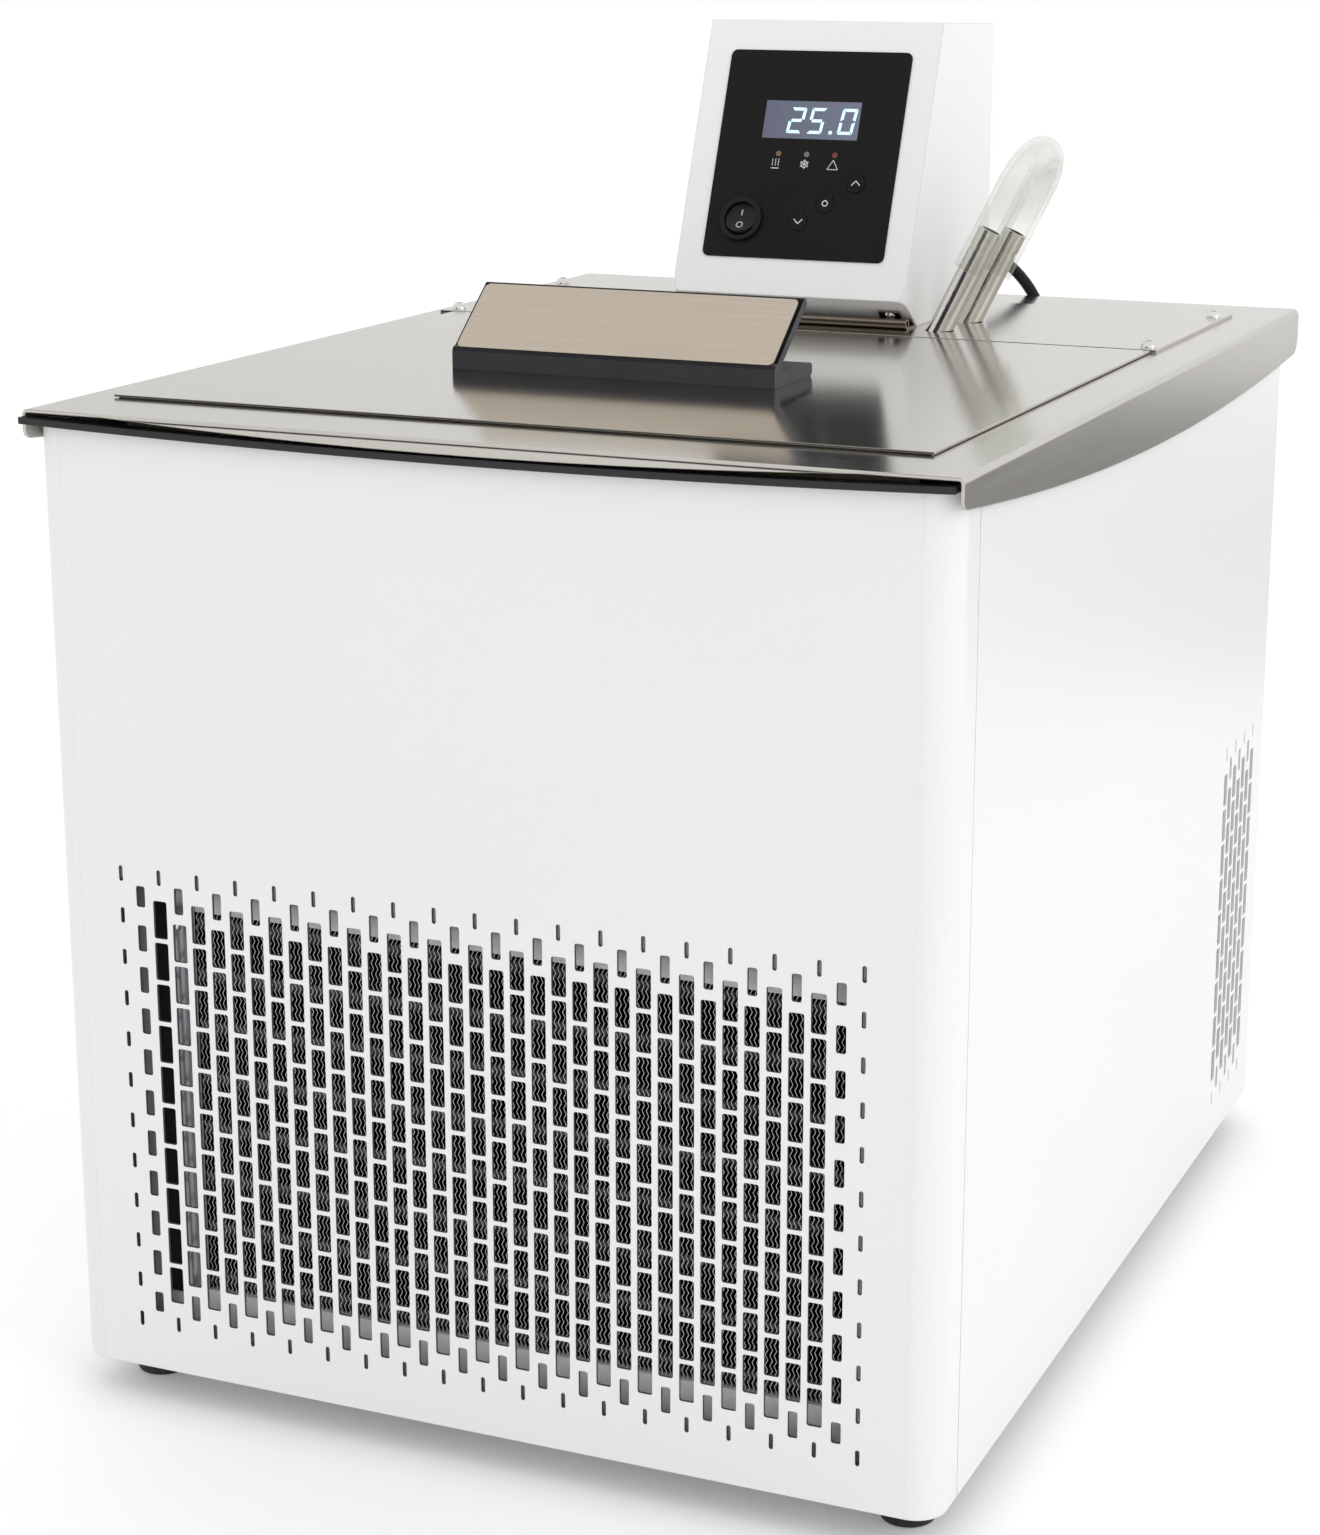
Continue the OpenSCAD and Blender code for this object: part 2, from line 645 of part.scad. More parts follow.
module drain_knob() color(black) at() translate([drain_x, body_d + 13, drain_z]) {
  difference() {
    sphere(r = 3.9, $fn = 32);
    translate([0, -5, 0]) rotate([-90, 0, 0]) cylinder(h = 10, r = 2.2, $fn = 24);
  }
  translate([0, 0, 2.6]) cylinder(h = 12, r = 3);
  translate([0, 0, 13.3]) cylinder(h = 5, r = 7);
  translate([-4, -2, 13.3]) cube([26, 4, 5]);
}
module bath_lid() color(steel) at() {
  translate([lid_x - lid_w / 2, lid_y, deck_z + 0.5]) cube([lid_w, lid_d, lid_t - 0.5]);
  translate([lid_x - lid_w / 2 + 1.5, lid_y + 1.5, deck_z]) cube([lid_w - 3, lid_d - 3, 0.5]);
  tray_y0 = bath_y + lip + tray_gap;
  tray_y1 = lid_y + lid_d - 8;
  tray_w = open_w - 2 * tray_gap;
  translate([bath_x, (tray_y0 + tray_y1) / 2, deck_z - tray_h]) linear_extrude(height = tray_h + 0.4)
    difference() {
      round_rect(tray_w, tray_y1 - tray_y0, bath_r - lip);
      round_rect(tray_w - 2.4, tray_y1 - tray_y0 - 2.4, bath_r - lip - 1.2);
    }
}

// Lid handle
handle_x = -14.9;
handle_y = lid_y + 134;
lid_top = deck_z + lid_t;
grip_y = 3.5;
cg = cos(grip_angle);
sg = sin(grip_angle);
module lid_handle() color(black) at() translate([handle_x - handle_w / 2, handle_y, lid_top])
  rotate([90, 0, 90]) linear_extrude(height = handle_w) {
    tip = [grip_y + grip_l * cg, handle_front + grip_l * sg];
    tip_mid = tip + grip_t / 2 * [sg, -cg];
    // where the grip's underside meets the foot
    under = (handle_foot - handle_front + grip_t * cg) / sg;
    root = [grip_y + grip_t * sg + under * cg, handle_foot];
    polygon(concat([[0, 0], [handle_d - 2, 0], [handle_d, 2], [handle_d, handle_foot - 1.5],
      [handle_d - 1.5, handle_foot]],
      [[root[0] + 3.5, handle_foot], [root[0] + 1.6, handle_foot + 0.5],
       [root[0] + 1.5 + 3 * cg * 0.6, handle_foot + 0.9 + 3 * sg]],
      [for (a = [-90 : 30 : 90]) tip_mid + grip_t / 2 * [cos(a + grip_angle), sin(a + grip_angle)]],
      [[grip_y, handle_front], [1.2, handle_front - 0.7], [0, handle_front - 2.4]]));
  }
module handle_plate() color(steel) at()
  translate([handle_x, handle_y + grip_y, lid_top + handle_front]) rotate([grip_angle, 0, 0])
    translate([0, grip_l / 2, 0]) linear_extrude(height = plate_t)
      round_rect(handle_w - 2 * plate_inset, grip_l - 2 * plate_inset, 3);

// Control head
head_side = [[0, 16.4], [face_run, 16.4 + face_rise], [face_run + head_top, 13.8 + face_rise],
  [face_run + head_top, sheet], [bevel_back, sheet]];
function cross2(a, b) = a[0] * b[1] - a[1] * b[0];
function meet(p, u, q, v) = p + u * cross2(q - p, v) / cross2(u, v);
function unit2(v) = v / norm(v);
// each side of an outline that runs clockwise moves in by t
function inset(p, t) = [for (i = [0 : len(p) - 1])
  let (a = p[(i + len(p) - 1) % len(p)], b = p[i], c = p[(i + 1) % len(p)],
    u = unit2(b - a), v = unit2(c - b))
  meet(a + t * [u[1], -u[0]], u, b + t * [v[1], -v[0]], v)];
module side_prism(points, w) translate([-w / 2, 0, 0]) rotate([90, 0, 90])
  linear_extrude(height = w) polygon(points);
module plan_prism(w, d, r) linear_extrude(height = face_rise + 40) translate([0, d / 2])
  round_rect(w, d, r);
module head_housing() color(white) at() difference() {
  translate([head_x, head_y, deck_z]) difference() {
    intersection() {
      side_prism(head_side, head_w);
      plan_prism(head_w, face_run + head_top, head_r);
    }
    side_prism(inset(head_side, head_t), head_w - 2 * head_t);
    // the open bottom
    translate([-head_w / 2 + head_t, bevel_back + 3, 0])
      cube([head_w - 2 * head_t, face_run + head_top - bevel_back - 3 - head_t, 10]);
  }
  on_face() {
    translate([0, display_low + display_l / 2, -5]) linear_extrude(height = 6)
      square([display_w - 2, display_l - 2], center = true);
    for (i = [-1 : 1]) translate([i * led_step, led_up, -5]) cylinder(h = 6, r = led_d / 2 + fit);
    translate([switch_at[0], switch_at[1], -5]) cylinder(h = 6, r = bezel_d / 2 - 1.6 + fit);
    for (p = [up_at, select_at, down_at]) translate([p[0], p[1], -5])
      cylinder(h = 6, r = key_d / 2 + 0.3);
  }
  translate([head_x + 25.3, head_y + face_run + head_top - 5, gland_z]) rotate([-90, 0, 0])
    cylinder(h = 10, r = 6 + fit);
}
module head_bracket() color(steel) at() translate([head_x, head_y, bridge_top]) {
  // a sheet that starts in a roll, runs back on the bridge plate and up the bevel
  roll_r = 2.7;
  roll_y = 6;
  slope = [bevel_back, sheet - 16.4];
  u = unit2(-slope);
  translate([-head_w / 2, roll_y, roll_r]) rotate([0, 90, 0]) difference() {
    cylinder(h = head_w, r = roll_r, $fn = 24);
    translate([0, 0, -eps]) cylinder(h = head_w + 1, r = roll_r - 1, $fn = 24);
  }
  translate([-head_w / 2, roll_y, 0]) cube([head_w, bevel_back - roll_y - 1.2, 1]);
  foot_y = bevel_back - 1.2;
  band = 8;
  tab = 15.5;
  difference() {
    for (s = [[0, head_w, band], [head_w / 2 - 11, 12, tab], [-head_w / 2 + 11, 12, tab]])
      translate([s[0] - s[1] / 2, 0, 0]) rotate([90, 0, 90]) linear_extrude(height = s[1])
        polygon([[foot_y, 0], [foot_y, 0] + s[2] * u, [foot_y, 0] + s[2] * u + [-0.59, -0.81] * 0.9,
          [foot_y - 1.4, 0]]);
  }
}
module bracket_screws() color(steel) at() {
  slope = [bevel_back, sheet - 16.4];
  u = unit2(-slope);
  spot = [bevel_back - 1.2, 0] + 12.4 * u + [-0.59, -0.81] * 0.92;
  for (sx = [-1, 1]) translate([head_x + sx * (head_w / 2 - 11), head_y + spot[0],
    bridge_top + spot[1]]) rotate([90 + 54, 0, 0]) dome(6, 2);
}
module control_foil() color(black) at() on_face() difference() {
  translate([0, foil_low + foil_l / 2, 0]) linear_extrude(height = foil_t)
    round_rect(2 * foil_half, foil_l, foil_r);
  translate([-display_w / 2 - fit, display_low - fit, -eps])
    cube([display_w + 2 * fit, display_l + 2 * fit, 2]);
  for (i = [-1 : 1]) translate([i * led_step, led_up, -eps]) cylinder(h = 2, r = led_d / 2 + fit);
  translate([switch_at[0], switch_at[1], -eps]) cylinder(h = 2, r = bezel_d / 2 - 1.6 + fit);
  for (p = [up_at, select_at, down_at]) translate([p[0], p[1], -eps])
    cylinder(h = 2, r = key_d / 2 + 0.3);
}
module display_window() color([0.3, 0.35, 0.4]) at() on_face() {
  translate([-display_w / 2, display_low, 0]) cube([display_w, display_l, foil_t]);
  translate([-display_w / 2 + 1.2, display_low + 1.2, -board_back + 0.1])
    cube([display_w - 2.4, display_l - 2.4, board_back]);
}
module status_leds() color(clear) at() on_face()
  for (i = [-1 : 1]) translate([i * led_step, led_up, -board_back + 0.1])
    cylinder(h = board_back + foil_t, r = led_d / 2, $fn = 24);
bezel_out = 2.2;
rocker_w = 0;        // the rocker turns about an axis in the face's own plane
module switch_bezel() color(black) at() on_face() translate([switch_at[0], switch_at[1], 0])
  difference() {
    union() {
      translate([0, 0, foil_t]) cylinder(h = bezel_out, r = bezel_d / 2, $fn = 48);
      translate([0, 0, -16]) cylinder(h = 16 + foil_t + eps, r = bezel_d / 2 - 1.6, $fn = 48);
    }
    translate([0, 0, -13]) cylinder(h = 30, r = rocker_d / 2 + rocker_gap, $fn = 48);
    translate([-rocker_d / 2 - 1.2, 0, rocker_w]) rotate([0, 90, 0])
      cylinder(h = rocker_d + 2.4, r = 1 + run_fit, $fn = 24);
  }
module switch_rocker() color(black) at() on_face()
  translate([switch_at[0], switch_at[1], rocker_w]) rotate([-rocker_tilt, 0, 0]) {
    difference() {
      sphere(r = rocker_d / 2, $fn = 48);
      translate([-15, 0, 27.8]) rotate([0, 90, 0]) cylinder(h = 30, r = 26, $fn = 96);
      translate([-15, -15, -20]) cube([30, 30, 15]);
    }
    translate([-rocker_d / 2 - 1, 0, 0]) rotate([0, 90, 0])
      cylinder(h = rocker_d + 2, r = 1, $fn = 24);
  }
module key(p) at() on_face() translate([p[0], p[1], 0]) {
  translate([0, 0, -head_t]) cylinder(h = head_t + foil_t + 0.3, r = key_d / 2, $fn = 32);
  translate([0, 0, -board_back + key_travel + 0.3]) cylinder(h = board_back - 1, r = 2);
}
module key_up() color(black) key(up_at);
module key_select() color(black) key(select_at);
module key_down() color(black) key(down_at);
module control_board() color([0.1, 0.35, 0.2]) at() on_face() difference() {
  translate([-50, 30, -board_back - 1.6]) cube([100, 84, 1.6]);
  translate([switch_at[0], switch_at[1], -board_back - 3]) cylinder(h = 6, r = bezel_d / 2 + 1);
}

// Nozzles, hose and lead
module nozzle(low) difference() {
  translate([0, 0, low]) cylinder(h = nozzle_l - low, r = nozzle_d / 2);
  translate([0, 0, low - eps]) cylinder(h = nozzle_l - low + 2 * eps, r = nozzle_d / 2 - nozzle_t);
  translate([0, 0, nozzle_l - 12]) difference() {
    cylinder(h = 2, r = nozzle_d);
    translate([0, 0, -eps]) cylinder(h = 3, r = nozzle_d / 2 - 0.6);
  }
}
module nozzle_outlet() color(steel) at() on_nozzle() nozzle(spout_low + 8);
module nozzle_return() color(steel) at() on_nozzle() translate([0, nozzle_gap, 0]) nozzle(-40);
module bypass_hose() color(clear) at() on_nozzle() {
  for (y = [0, nozzle_gap]) translate([0, y, hose_low]) difference() {
    cylinder(h = hose_up - hose_low, r = hose_d / 2);
    translate([0, 0, -eps]) cylinder(h = hose_up - hose_low + 1, r = hose_bore);
  }
  translate([0, hose_r, hose_up]) rotate([90, 0, 90]) rotate_extrude(angle = 180)
    translate([hose_r, 0]) difference() {
      circle(r = hose_d / 2, $fn = 24);
      circle(r = hose_bore, $fn = 24);
    }
}
module lead_gland() color(black) at() translate([12, head_back, gland_z]) rotate([-90, 0, 0])
  difference() {
    union() {
      translate([0, 0, -head_t - 2]) cylinder(h = head_t + 3, r = 6);
      cylinder(h = 3, r = 8);
      translate([0, 0, 3]) cylinder(h = gland_l - 3, r1 = 6, r2 = lead_d / 2 + 1.2);
    }
    translate([0, 0, -10]) cylinder(h = gland_l + 20, r = lead_d / 2 + 0.25);
  }
module lead_plug() color(black) at() difference() {
  union() {
    translate([plug_x, plug_y, plug_z - 9]) cylinder(h = 18, r = 9);
    rod([plug_x, body_d - 6, plug_z], [plug_x, plug_y, plug_z], 8, 32);
    translate([plug_x, plug_y, plug_z + 9]) cylinder(h = 20, r1 = 8, r2 = lead_d / 2 + 1.2);
  }
  translate([plug_x, plug_y, plug_z + 9]) cylinder(h = 24, r = lead_d / 2 + 0.35);
}
// the lead: rings of ten points on a smooth curve through its route
ring_n = 10;
sub = 3;
lead_len = len(lead_path);
function pt(i) = lead_path[max(0, min(lead_len - 1, i))];
function curve(i, t) = let (a = pt(i - 1), b = pt(i), c = pt(i + 1), d = pt(i + 2))
  0.5 * (2 * b + (c - a) * t + (2 * a - 5 * b + 4 * c - d) * t * t
    + (3 * b - 3 * c + d - a) * t * t * t);
lead_points = concat([for (i = [0 : lead_len - 2], s = [0 : sub - 1]) curve(i, s / sub)],
  [pt(lead_len - 1)]);
function way(i) = let (n = len(lead_points), d = lead_points[min(n - 1, i + 1)]
  - lead_points[max(0, i - 1)]) d / norm(d);
function ring(i) = let (d = way(i), s0 = cross([1, 0, 0], d), s = s0 / norm(s0), q = cross(d, s))
  [for (k = [0 : ring_n - 1]) let (a = 360 * k / ring_n)
    lead_points[i] + lead_d / 2 * (cos(a) * s + sin(a) * q)];
module link_lead() color(black) at() {
  n = len(lead_points);
  verts = [for (i = [0 : n - 1]) each ring(i)];
  walls = [for (i = [0 : n - 2], k = [0 : ring_n - 1]) let (a = i * ring_n + k,
    b = i * ring_n + (k + 1) % ring_n) [a, b, b + ring_n, a + ring_n]];
  tris = [for (w = walls) each [[w[0], w[2], w[1]], [w[0], w[3], w[2]]]];
  polyhedron(points = verts, faces = concat(tris, [[for (k = [0 : ring_n - 1]) k]],
    [[for (k = [0 : ring_n - 1]) n * ring_n - 1 - k]]));
}

// Pump, heater and probe
module pump_motor() color(grey) at() translate([head_x, pump_y, bridge_top]) difference() {
  union() {
    cylinder(h = 4, r = 30);
    cylinder(h = 66, r = 25);
  }
  translate([0, 0, -eps]) cylinder(h = 45, r = shaft_r + run_fit);
}
module pump_shaft() color(steel) at() translate([head_x, pump_y, 0]) {
  translate([0, 0, pump_z + 8]) cylinder(h = bridge_top + 40 - pump_z - 8, r = shaft_r);
  translate([0, 0, pump_z + 7]) cylinder(h = 3, r = 22);
  for (a = [0 : 60 : 300]) rotate([0, 0, a]) translate([8, -1, pump_z + 9.9]) cube([13, 2, 7]);
}
module pump_housing() color(black) at() difference() {
  union() {
    translate([head_x, pump_y, pump_z]) cylinder(h = pump_h, r = pump_r);
    translate([head_x, pump_y, pump_z + pump_h]) cylinder(h = deck_z - pump_z - pump_h, r = 9);
    on_nozzle() translate([0, 0, spout_low]) cylinder(h = spout_high - spout_low, r = 9.5);
    translate([head_x + 10, pump_y - 68, pump_z + 6]) cube([16, 50, 10]);
  }
  translate([head_x, pump_y, pump_z + 3]) cylinder(h = pump_h - 6, r = pump_r - 3);
  translate([head_x, pump_y, pump_z - eps]) cylinder(h = 5, r = 11);
  translate([head_x, pump_y, pump_z + 8]) cylinder(h = deck_z - pump_z, r = shaft_r + 0.8);
  on_nozzle() translate([0, 0, spout_low + 7.9]) cylinder(h = 30, r = nozzle_d / 2 + run_fit);
}
module heater_rod() color(steel) at() {
  low = deck_z - 140;
  for (sx = [-1, 1]) translate([heater_x + sx * heater_r, heater_y, low])
    cylinder(h = bridge_top + 6 - low, r = 4);
  translate([heater_x, heater_y, low]) rotate([-90, 0, 0]) rotate_extrude(angle = 180, $fn = 32)
    translate([heater_r, 0]) circle(r = 4, $fn = 24);
}
module temperature_probe() color(steel) at()
  translate([heater_x, probe_y, deck_z - 120]) {
    cylinder(h = 120 + sheet + 6, r = 3);
    sphere(r = 3, $fn = 24);
  }

// Cooling unit
module condenser_frame() color(grey) at() {
  z0 = cond_z - 12;
  z1 = grille_z + 6;
  difference() {
    translate([-196, cond_front, z0]) cube([392, frame_t, z1 - z0]);
    translate([cond_x0, cond_front - eps, cond_z]) cube([fin_w, 5, fin_h]);
    translate([cond_x0 - 22.5, cond_front - eps, cond_z - 4]) cube([10, 5, fin_h + 8]);
  }
  // flanges that hold the block above and below
  for (z = [cond_z - frame_t - fit, cond_z + fin_h + fit]) translate([cond_x0, cond_front, z])
    cube([fin_w, cond_back - cond_front, frame_t]);
  // the front flange reaches down to the floor pan
  translate([-196, cond_front, floor_z]) cube([392, frame_t, z0 - floor_z]);
}
module condenser_channel() color(alu) at() intersection() {
  translate([cond_x0 - 6.2, cond_front, cond_z]) difference() {
    cylinder(h = fin_h, r = 5.5, $fn = 32);
    translate([0, 0, -eps]) cylinder(h = fin_h + 1, r = 4.3, $fn = 32);
  }
  translate([cond_x0 - 30, cond_front - 10, cond_z]) cube([40, 10, fin_h]);
}
module condenser_screw() color(steel) at()
  translate([cond_x0 - 6.2, cond_front - 5.51, cond_z + fin_h - 8]) rotate([90, 0, 0]) dome(6.4, 2.2);
module condenser_seal() color(black) at()
  translate([cond_x0 - 25, cond_front + frame_t, cond_z - 6]) cube([14, 3, fin_h + 12]);
module condenser_fins() color(alu) at() {
  step = (fin_w - 2 - fin_t) / (fin_count - 1);
  for (i = [0 : fin_count - 1], y = [cond_y, tube_y + tube_r + 0.2])
    translate([cond_x0 + 1 + i * step, y, cond_z]) cube([fin_t, fin_d, fin_h]);
}
module condenser_tubes() color(copper) at() {
  serpentine(cond_x0 - 4, cond_x1 + 4, tube_y, tube_z0, tube_rows, tube_pitch, tube_r, 0);
  for (z = [tube_z0, tube_z0 - (tube_rows - 1) * tube_pitch])
    rod([cond_x1 + 4, tube_y, z], [lane_x - line_r - 1, tube_y, z], tube_r);
}
module fan_shroud() color(black) at() {
  z0 = cond_z - frame_t - fit;
  h = fin_h + 2 * (frame_t + fit);
  difference() {
    translate([cond_x0, cond_back + 0.2, z0]) cube([fin_w, shroud_y - cond_back - 0.2, h]);
    translate([cond_x0 + sheet, cond_back, z0 + sheet])
      cube([fin_w - 2 * sheet, shroud_y - cond_back - sheet, h - 2 * sheet]);
    translate([fan_x, cond_back + 2, fan_z]) rotate([-90, 0, 0]) cylinder(h = 40, r = ring_r, $fn = 64);
  }
  translate([fan_x, shroud_y - sheet, fan_z]) rotate([-90, 0, 0]) difference() {
    cylinder(h = ring_d + sheet, r = ring_r + 1.5, $fn = 64);
    translate([0, 0, -eps]) cylinder(h = ring_d + 4, r = ring_r, $fn = 64);
  }
}
module fan_motor() color(grey) at() translate([fan_x, shroud_y + ring_d, fan_z]) rotate([-90, 0, 0]) {
  difference() {
    translate([0, 0, 2]) cylinder(h = 46, r = 32);
    translate([0, 0, 0]) cylinder(h = 30, r = 4 + run_fit, $fn = 24);
  }
  for (a = [45, 135, 225, 315]) rotate([0, 0, a]) translate([30, -6, 0])
    cube([ring_r + 1.5 - 30, 12, 3]);
}
module fan_rotor() color(black) at() translate([fan_x, fan_y, fan_z]) rotate([-90, 0, 0]) {
  cylinder(h = 17, r = 22);
  translate([0, 0, 16]) cylinder(h = 30, r = 4, $fn = 24);
  for (a = [0 : 72 : 288]) rotate([0, 0, a]) translate([20, 0, 8.5]) rotate([33, 0, 0])
    translate([0, -13, -1]) cube([sqrt(fan_r * fan_r - 169) - 20, 26, 2]);
}
module compressor() color(black) at() translate([pot_x, pot_y, floor_z + mount_h]) {
  difference() {
    translate([-80, -60, 0]) cube([160, 120, 3]);
    for (x = [-68, 68], y = [-48, 48]) translate([x, y, -eps]) cylinder(h = 4, r = 6 + fit, $fn = 24);
  }
  translate([0, 0, 3]) rotate_extrude($fn = 48) polygon([[0, 0], [pot_r - 12, 0], [pot_r, 14],
    [pot_r, pot_h * 0.78], [pot_r - 14, pot_h * 0.93], [pot_r - 40, pot_h], [0, pot_h]]);
}
module compressor_mounts() color(black) at() translate([pot_x, pot_y, floor_z])
  for (x = [-68, 68], y = [-48, 48]) translate([x, y, 0]) {
    cylinder(h = mount_h, r = 10, $fn = 24);
    cylinder(h = mount_h + 4, r = 6, $fn = 24);
    translate([0, 0, mount_h + 3]) cylinder(h = 2, r = 9, $fn = 24);
  }
dryer_y0 = 60;
dryer_l = 100;
low_tube_z = tube_z0 - (tube_rows - 1) * tube_pitch;
module filter_dryer() color(copper) at() {
  rod([lane_x - line_r - 1, tube_y, low_tube_z], [lane_x, tube_y, low_tube_z], line_r);
  translate([lane_x, tube_y, low_tube_z]) sphere(r = line_r, $fn = 20);
  rod([lane_x, tube_y, low_tube_z], [lane_x, dryer_y0 + 2, low_tube_z], line_r);
  rod([lane_x, dryer_y0, low_tube_z], [lane_x, dryer_y0 + dryer_l, low_tube_z], 9, 24);
}
module discharge_line() color(copper) at() pipe([[pot_x + pot_r + 0.1, pot_y, floor_z + 110],
  [lane_x, pot_y, floor_z + 110], [lane_x, tube_y + 22, floor_z + 110],
  [lane_x, tube_y + 22, tube_z0], [lane_x, tube_y, tube_z0],
  [lane_x - line_r - 0.9, tube_y, tube_z0]], line_r);
module suction_line() color(copper) at() {
  out_y = bath_y + bath_l + foam_t + 12;
  pipe([[evap_x0, out_y + 0.1, evap_z0], [evap_x0, lane_y, evap_z0],
    [evap_x0, lane_y, floor_z + 80], [pot_x, lane_y, floor_z + 80],
    [pot_x, pot_y + pot_r + 0.1, floor_z + 80]], line_r);
}
module capillary_line() color(copper) at() {
  out_y = bath_y + bath_l + foam_t + 12;
  z = evap_z0 - (evap_rows - 1) * evap_pitch;
  pipe([[lane_x, dryer_y0 + dryer_l + 0.1, low_tube_z], [lane_x, lane_y, low_tube_z],
    [lane_x, lane_y, z], [evap_x1, lane_y, z], [evap_x1, out_y + 0.1, z]], 2);
}
module control_box() color(grey) at() translate([40, 420, floor_z]) cube([90, 90, 62]);
module mains_inlet() color(black) at() translate([inlet_x, body_d, inlet_z]) difference() {
  union() {
    translate([-24, 0, -15]) cube([48, 3, 30]);
    translate([-15, -28, -12]) cube([30, 28.5, 24]);
  }
  translate([-12, -18, -8]) cube([24, 22, 16]);
}

base_pan();
front_panel();
front_trim();
side_panel_left();
side_panel_right();
rear_panel();
feet();
tank_shelf();
deck_sheet();
bridge_plate();
bridge_screws();
bath_tank();
tank_insulation();
evaporator_coil();
drain_tap();
drain_knob();
condenser_frame();
condenser_channel();
condenser_seal();
condenser_screw();
condenser_fins();
condenser_tubes();
fan_shroud();
fan_motor();
fan_rotor();
compressor();
compressor_mounts();
filter_dryer();
discharge_line();
suction_line();
capillary_line();
control_box();
mains_inlet();
lead_plug();
link_lead();
lead_gland();
head_housing();
head_bracket();
bracket_screws();
control_foil();
display_window();
status_leds();
switch_bezel();
switch_rocker();
key_up();
key_select();
key_down();
control_board();
nozzle_outlet();
nozzle_return();
bypass_hose();
pump_motor();
pump_shaft();
pump_housing();
heater_rod();
temperature_probe();
bath_lid();
lid_handle();
handle_plate();
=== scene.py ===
import math

import bmesh
import bpy
from mathutils import Matrix, Vector


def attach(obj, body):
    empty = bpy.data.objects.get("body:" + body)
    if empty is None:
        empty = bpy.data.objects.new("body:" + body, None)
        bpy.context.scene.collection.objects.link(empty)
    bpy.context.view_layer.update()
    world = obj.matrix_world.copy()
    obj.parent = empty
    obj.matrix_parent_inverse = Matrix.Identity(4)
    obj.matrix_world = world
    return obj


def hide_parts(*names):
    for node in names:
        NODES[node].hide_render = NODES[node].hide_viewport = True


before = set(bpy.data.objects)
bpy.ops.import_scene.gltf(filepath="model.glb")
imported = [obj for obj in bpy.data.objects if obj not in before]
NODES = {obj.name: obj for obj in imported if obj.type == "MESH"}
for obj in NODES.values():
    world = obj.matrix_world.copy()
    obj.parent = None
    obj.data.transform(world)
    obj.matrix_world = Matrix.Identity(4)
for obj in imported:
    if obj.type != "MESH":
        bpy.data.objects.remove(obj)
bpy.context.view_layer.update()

# ---------------------------------------------------------------- camera
# solved from the slot grid and the casing's edges: the axes of its view, and its place in metres
CAM_RIGHT = Vector((0.92378, 0.38292, 0.00342))
CAM_FORWARD = Vector((-0.36899, 0.89249, -0.25944))
CAM_UP = Vector((-0.10240, 0.23840, 0.96576))
CAM_PLACE = Vector((0.59672, -1.45393, 0.68652))

cam_data = bpy.data.cameras.new("camera")
cam_data.sensor_fit = "AUTO"
cam_data.sensor_width = 36.0
cam_data.lens = 73.727
cam_data.shift_x = -0.04342
cam_data.shift_y = -0.00859
cam_data.clip_start = 0.05
cam = bpy.data.objects.new("camera", cam_data)
cam_turn = Matrix((CAM_RIGHT, CAM_UP, -CAM_FORWARD)).transposed()
cam.matrix_world = Matrix.Translation(CAM_PLACE) @ cam_turn.to_4x4()
bpy.context.scene.collection.objects.link(cam)
bpy.context.scene.camera = cam

MM = 0.001

# ---------------------------------------------------------------- sizes, as in the part's source (mm)
FRONT_Y = -296.0
HALF_W = 216.2
BODY_D = 561.0
FOOT_H = 17.8
DECK_Z = 472.6
SHEET = 1.5
CORNER_R = 14.5
FRONT_RETURN = 28.0
SEAM = 0.6
TRIM_LOW = DECK_Z - 6.3
PANEL_TUCK = 1.8
TRIM_SAG = 3.6
FLAT = HALF_W - CORNER_R

# slots: width, height and corner radius
FULL_SLOT = (7.0, 17.9, 1.0)
MID_SLOT = (4.5, 12.4, 1.0)
TINY_SLOT = (2.0, 7.4, 0.95)
CORNER_SLOT_H = 9.92
COLUMN_STEP, ROW_STEP = 10.0, 20.0
GRILLE_COLUMNS, GRILLE_ROWS, GRILLE_Z = 37, 11, 262.4
VENT_COLUMNS, VENT_ROWS, VENT_Y, VENT_Z = 7, 8, 477.0, 222.2

# fins
COND_X0, COND_X1 = -150.0, 172.0
COND_Z0, COND_H = 57.4, 189.5
FIN_D = 8.9
FRONT_FINS_Y, REAR_FINS_Y, FIN_HEADER_Y = 13.5, 32.6, (13.1, 13.4)
FIN_HEADER_H = 3.0
FIN_REACH = 0.9
FIRST_TUBE, TUBE_STEP = 0.2383, 0.025

# handle plate
GRIP_TILT = math.radians(38)
GRIP_X, GRIP_Y, GRIP_UP = -14.9, 180.5, 12.8
PLATE_W, PLATE_LOW, PLATE_HIGH, PLATE_R, PLATE_T = 162.6, -2.2, 40.7, 3.0, 1.2

# hose, in the frame of the two nozzles
HOSE_R, HOSE_BORE, HOSE_LOW, HOSE_UP, BEND = 9.0, 6.55, 36.4, 84.5, 20.6
NOZZLE_X, NOZZLE_Y = 68.6, 407.6
NOZZLE_LEAN, NOZZLE_BACK, NOZZLE_TURN = math.radians(25.6), math.radians(-5.15), math.radians(-3)

# the head's sloping face
HEAD_X, HEAD_Y, HEAD_Z = -13.3, 398.0, DECK_Z + 16.4
LEAN = math.radians(21.8)
FOIL_T = 0.8
KEY_FACE = FOIL_T + 0.3
ROCKER_X, ROCKER_UP, ROCKER_TILT = -31.6, 40.4, math.radians(-12)
ROCKER_R, ROCKER_AXIS = 26.0, 27.8


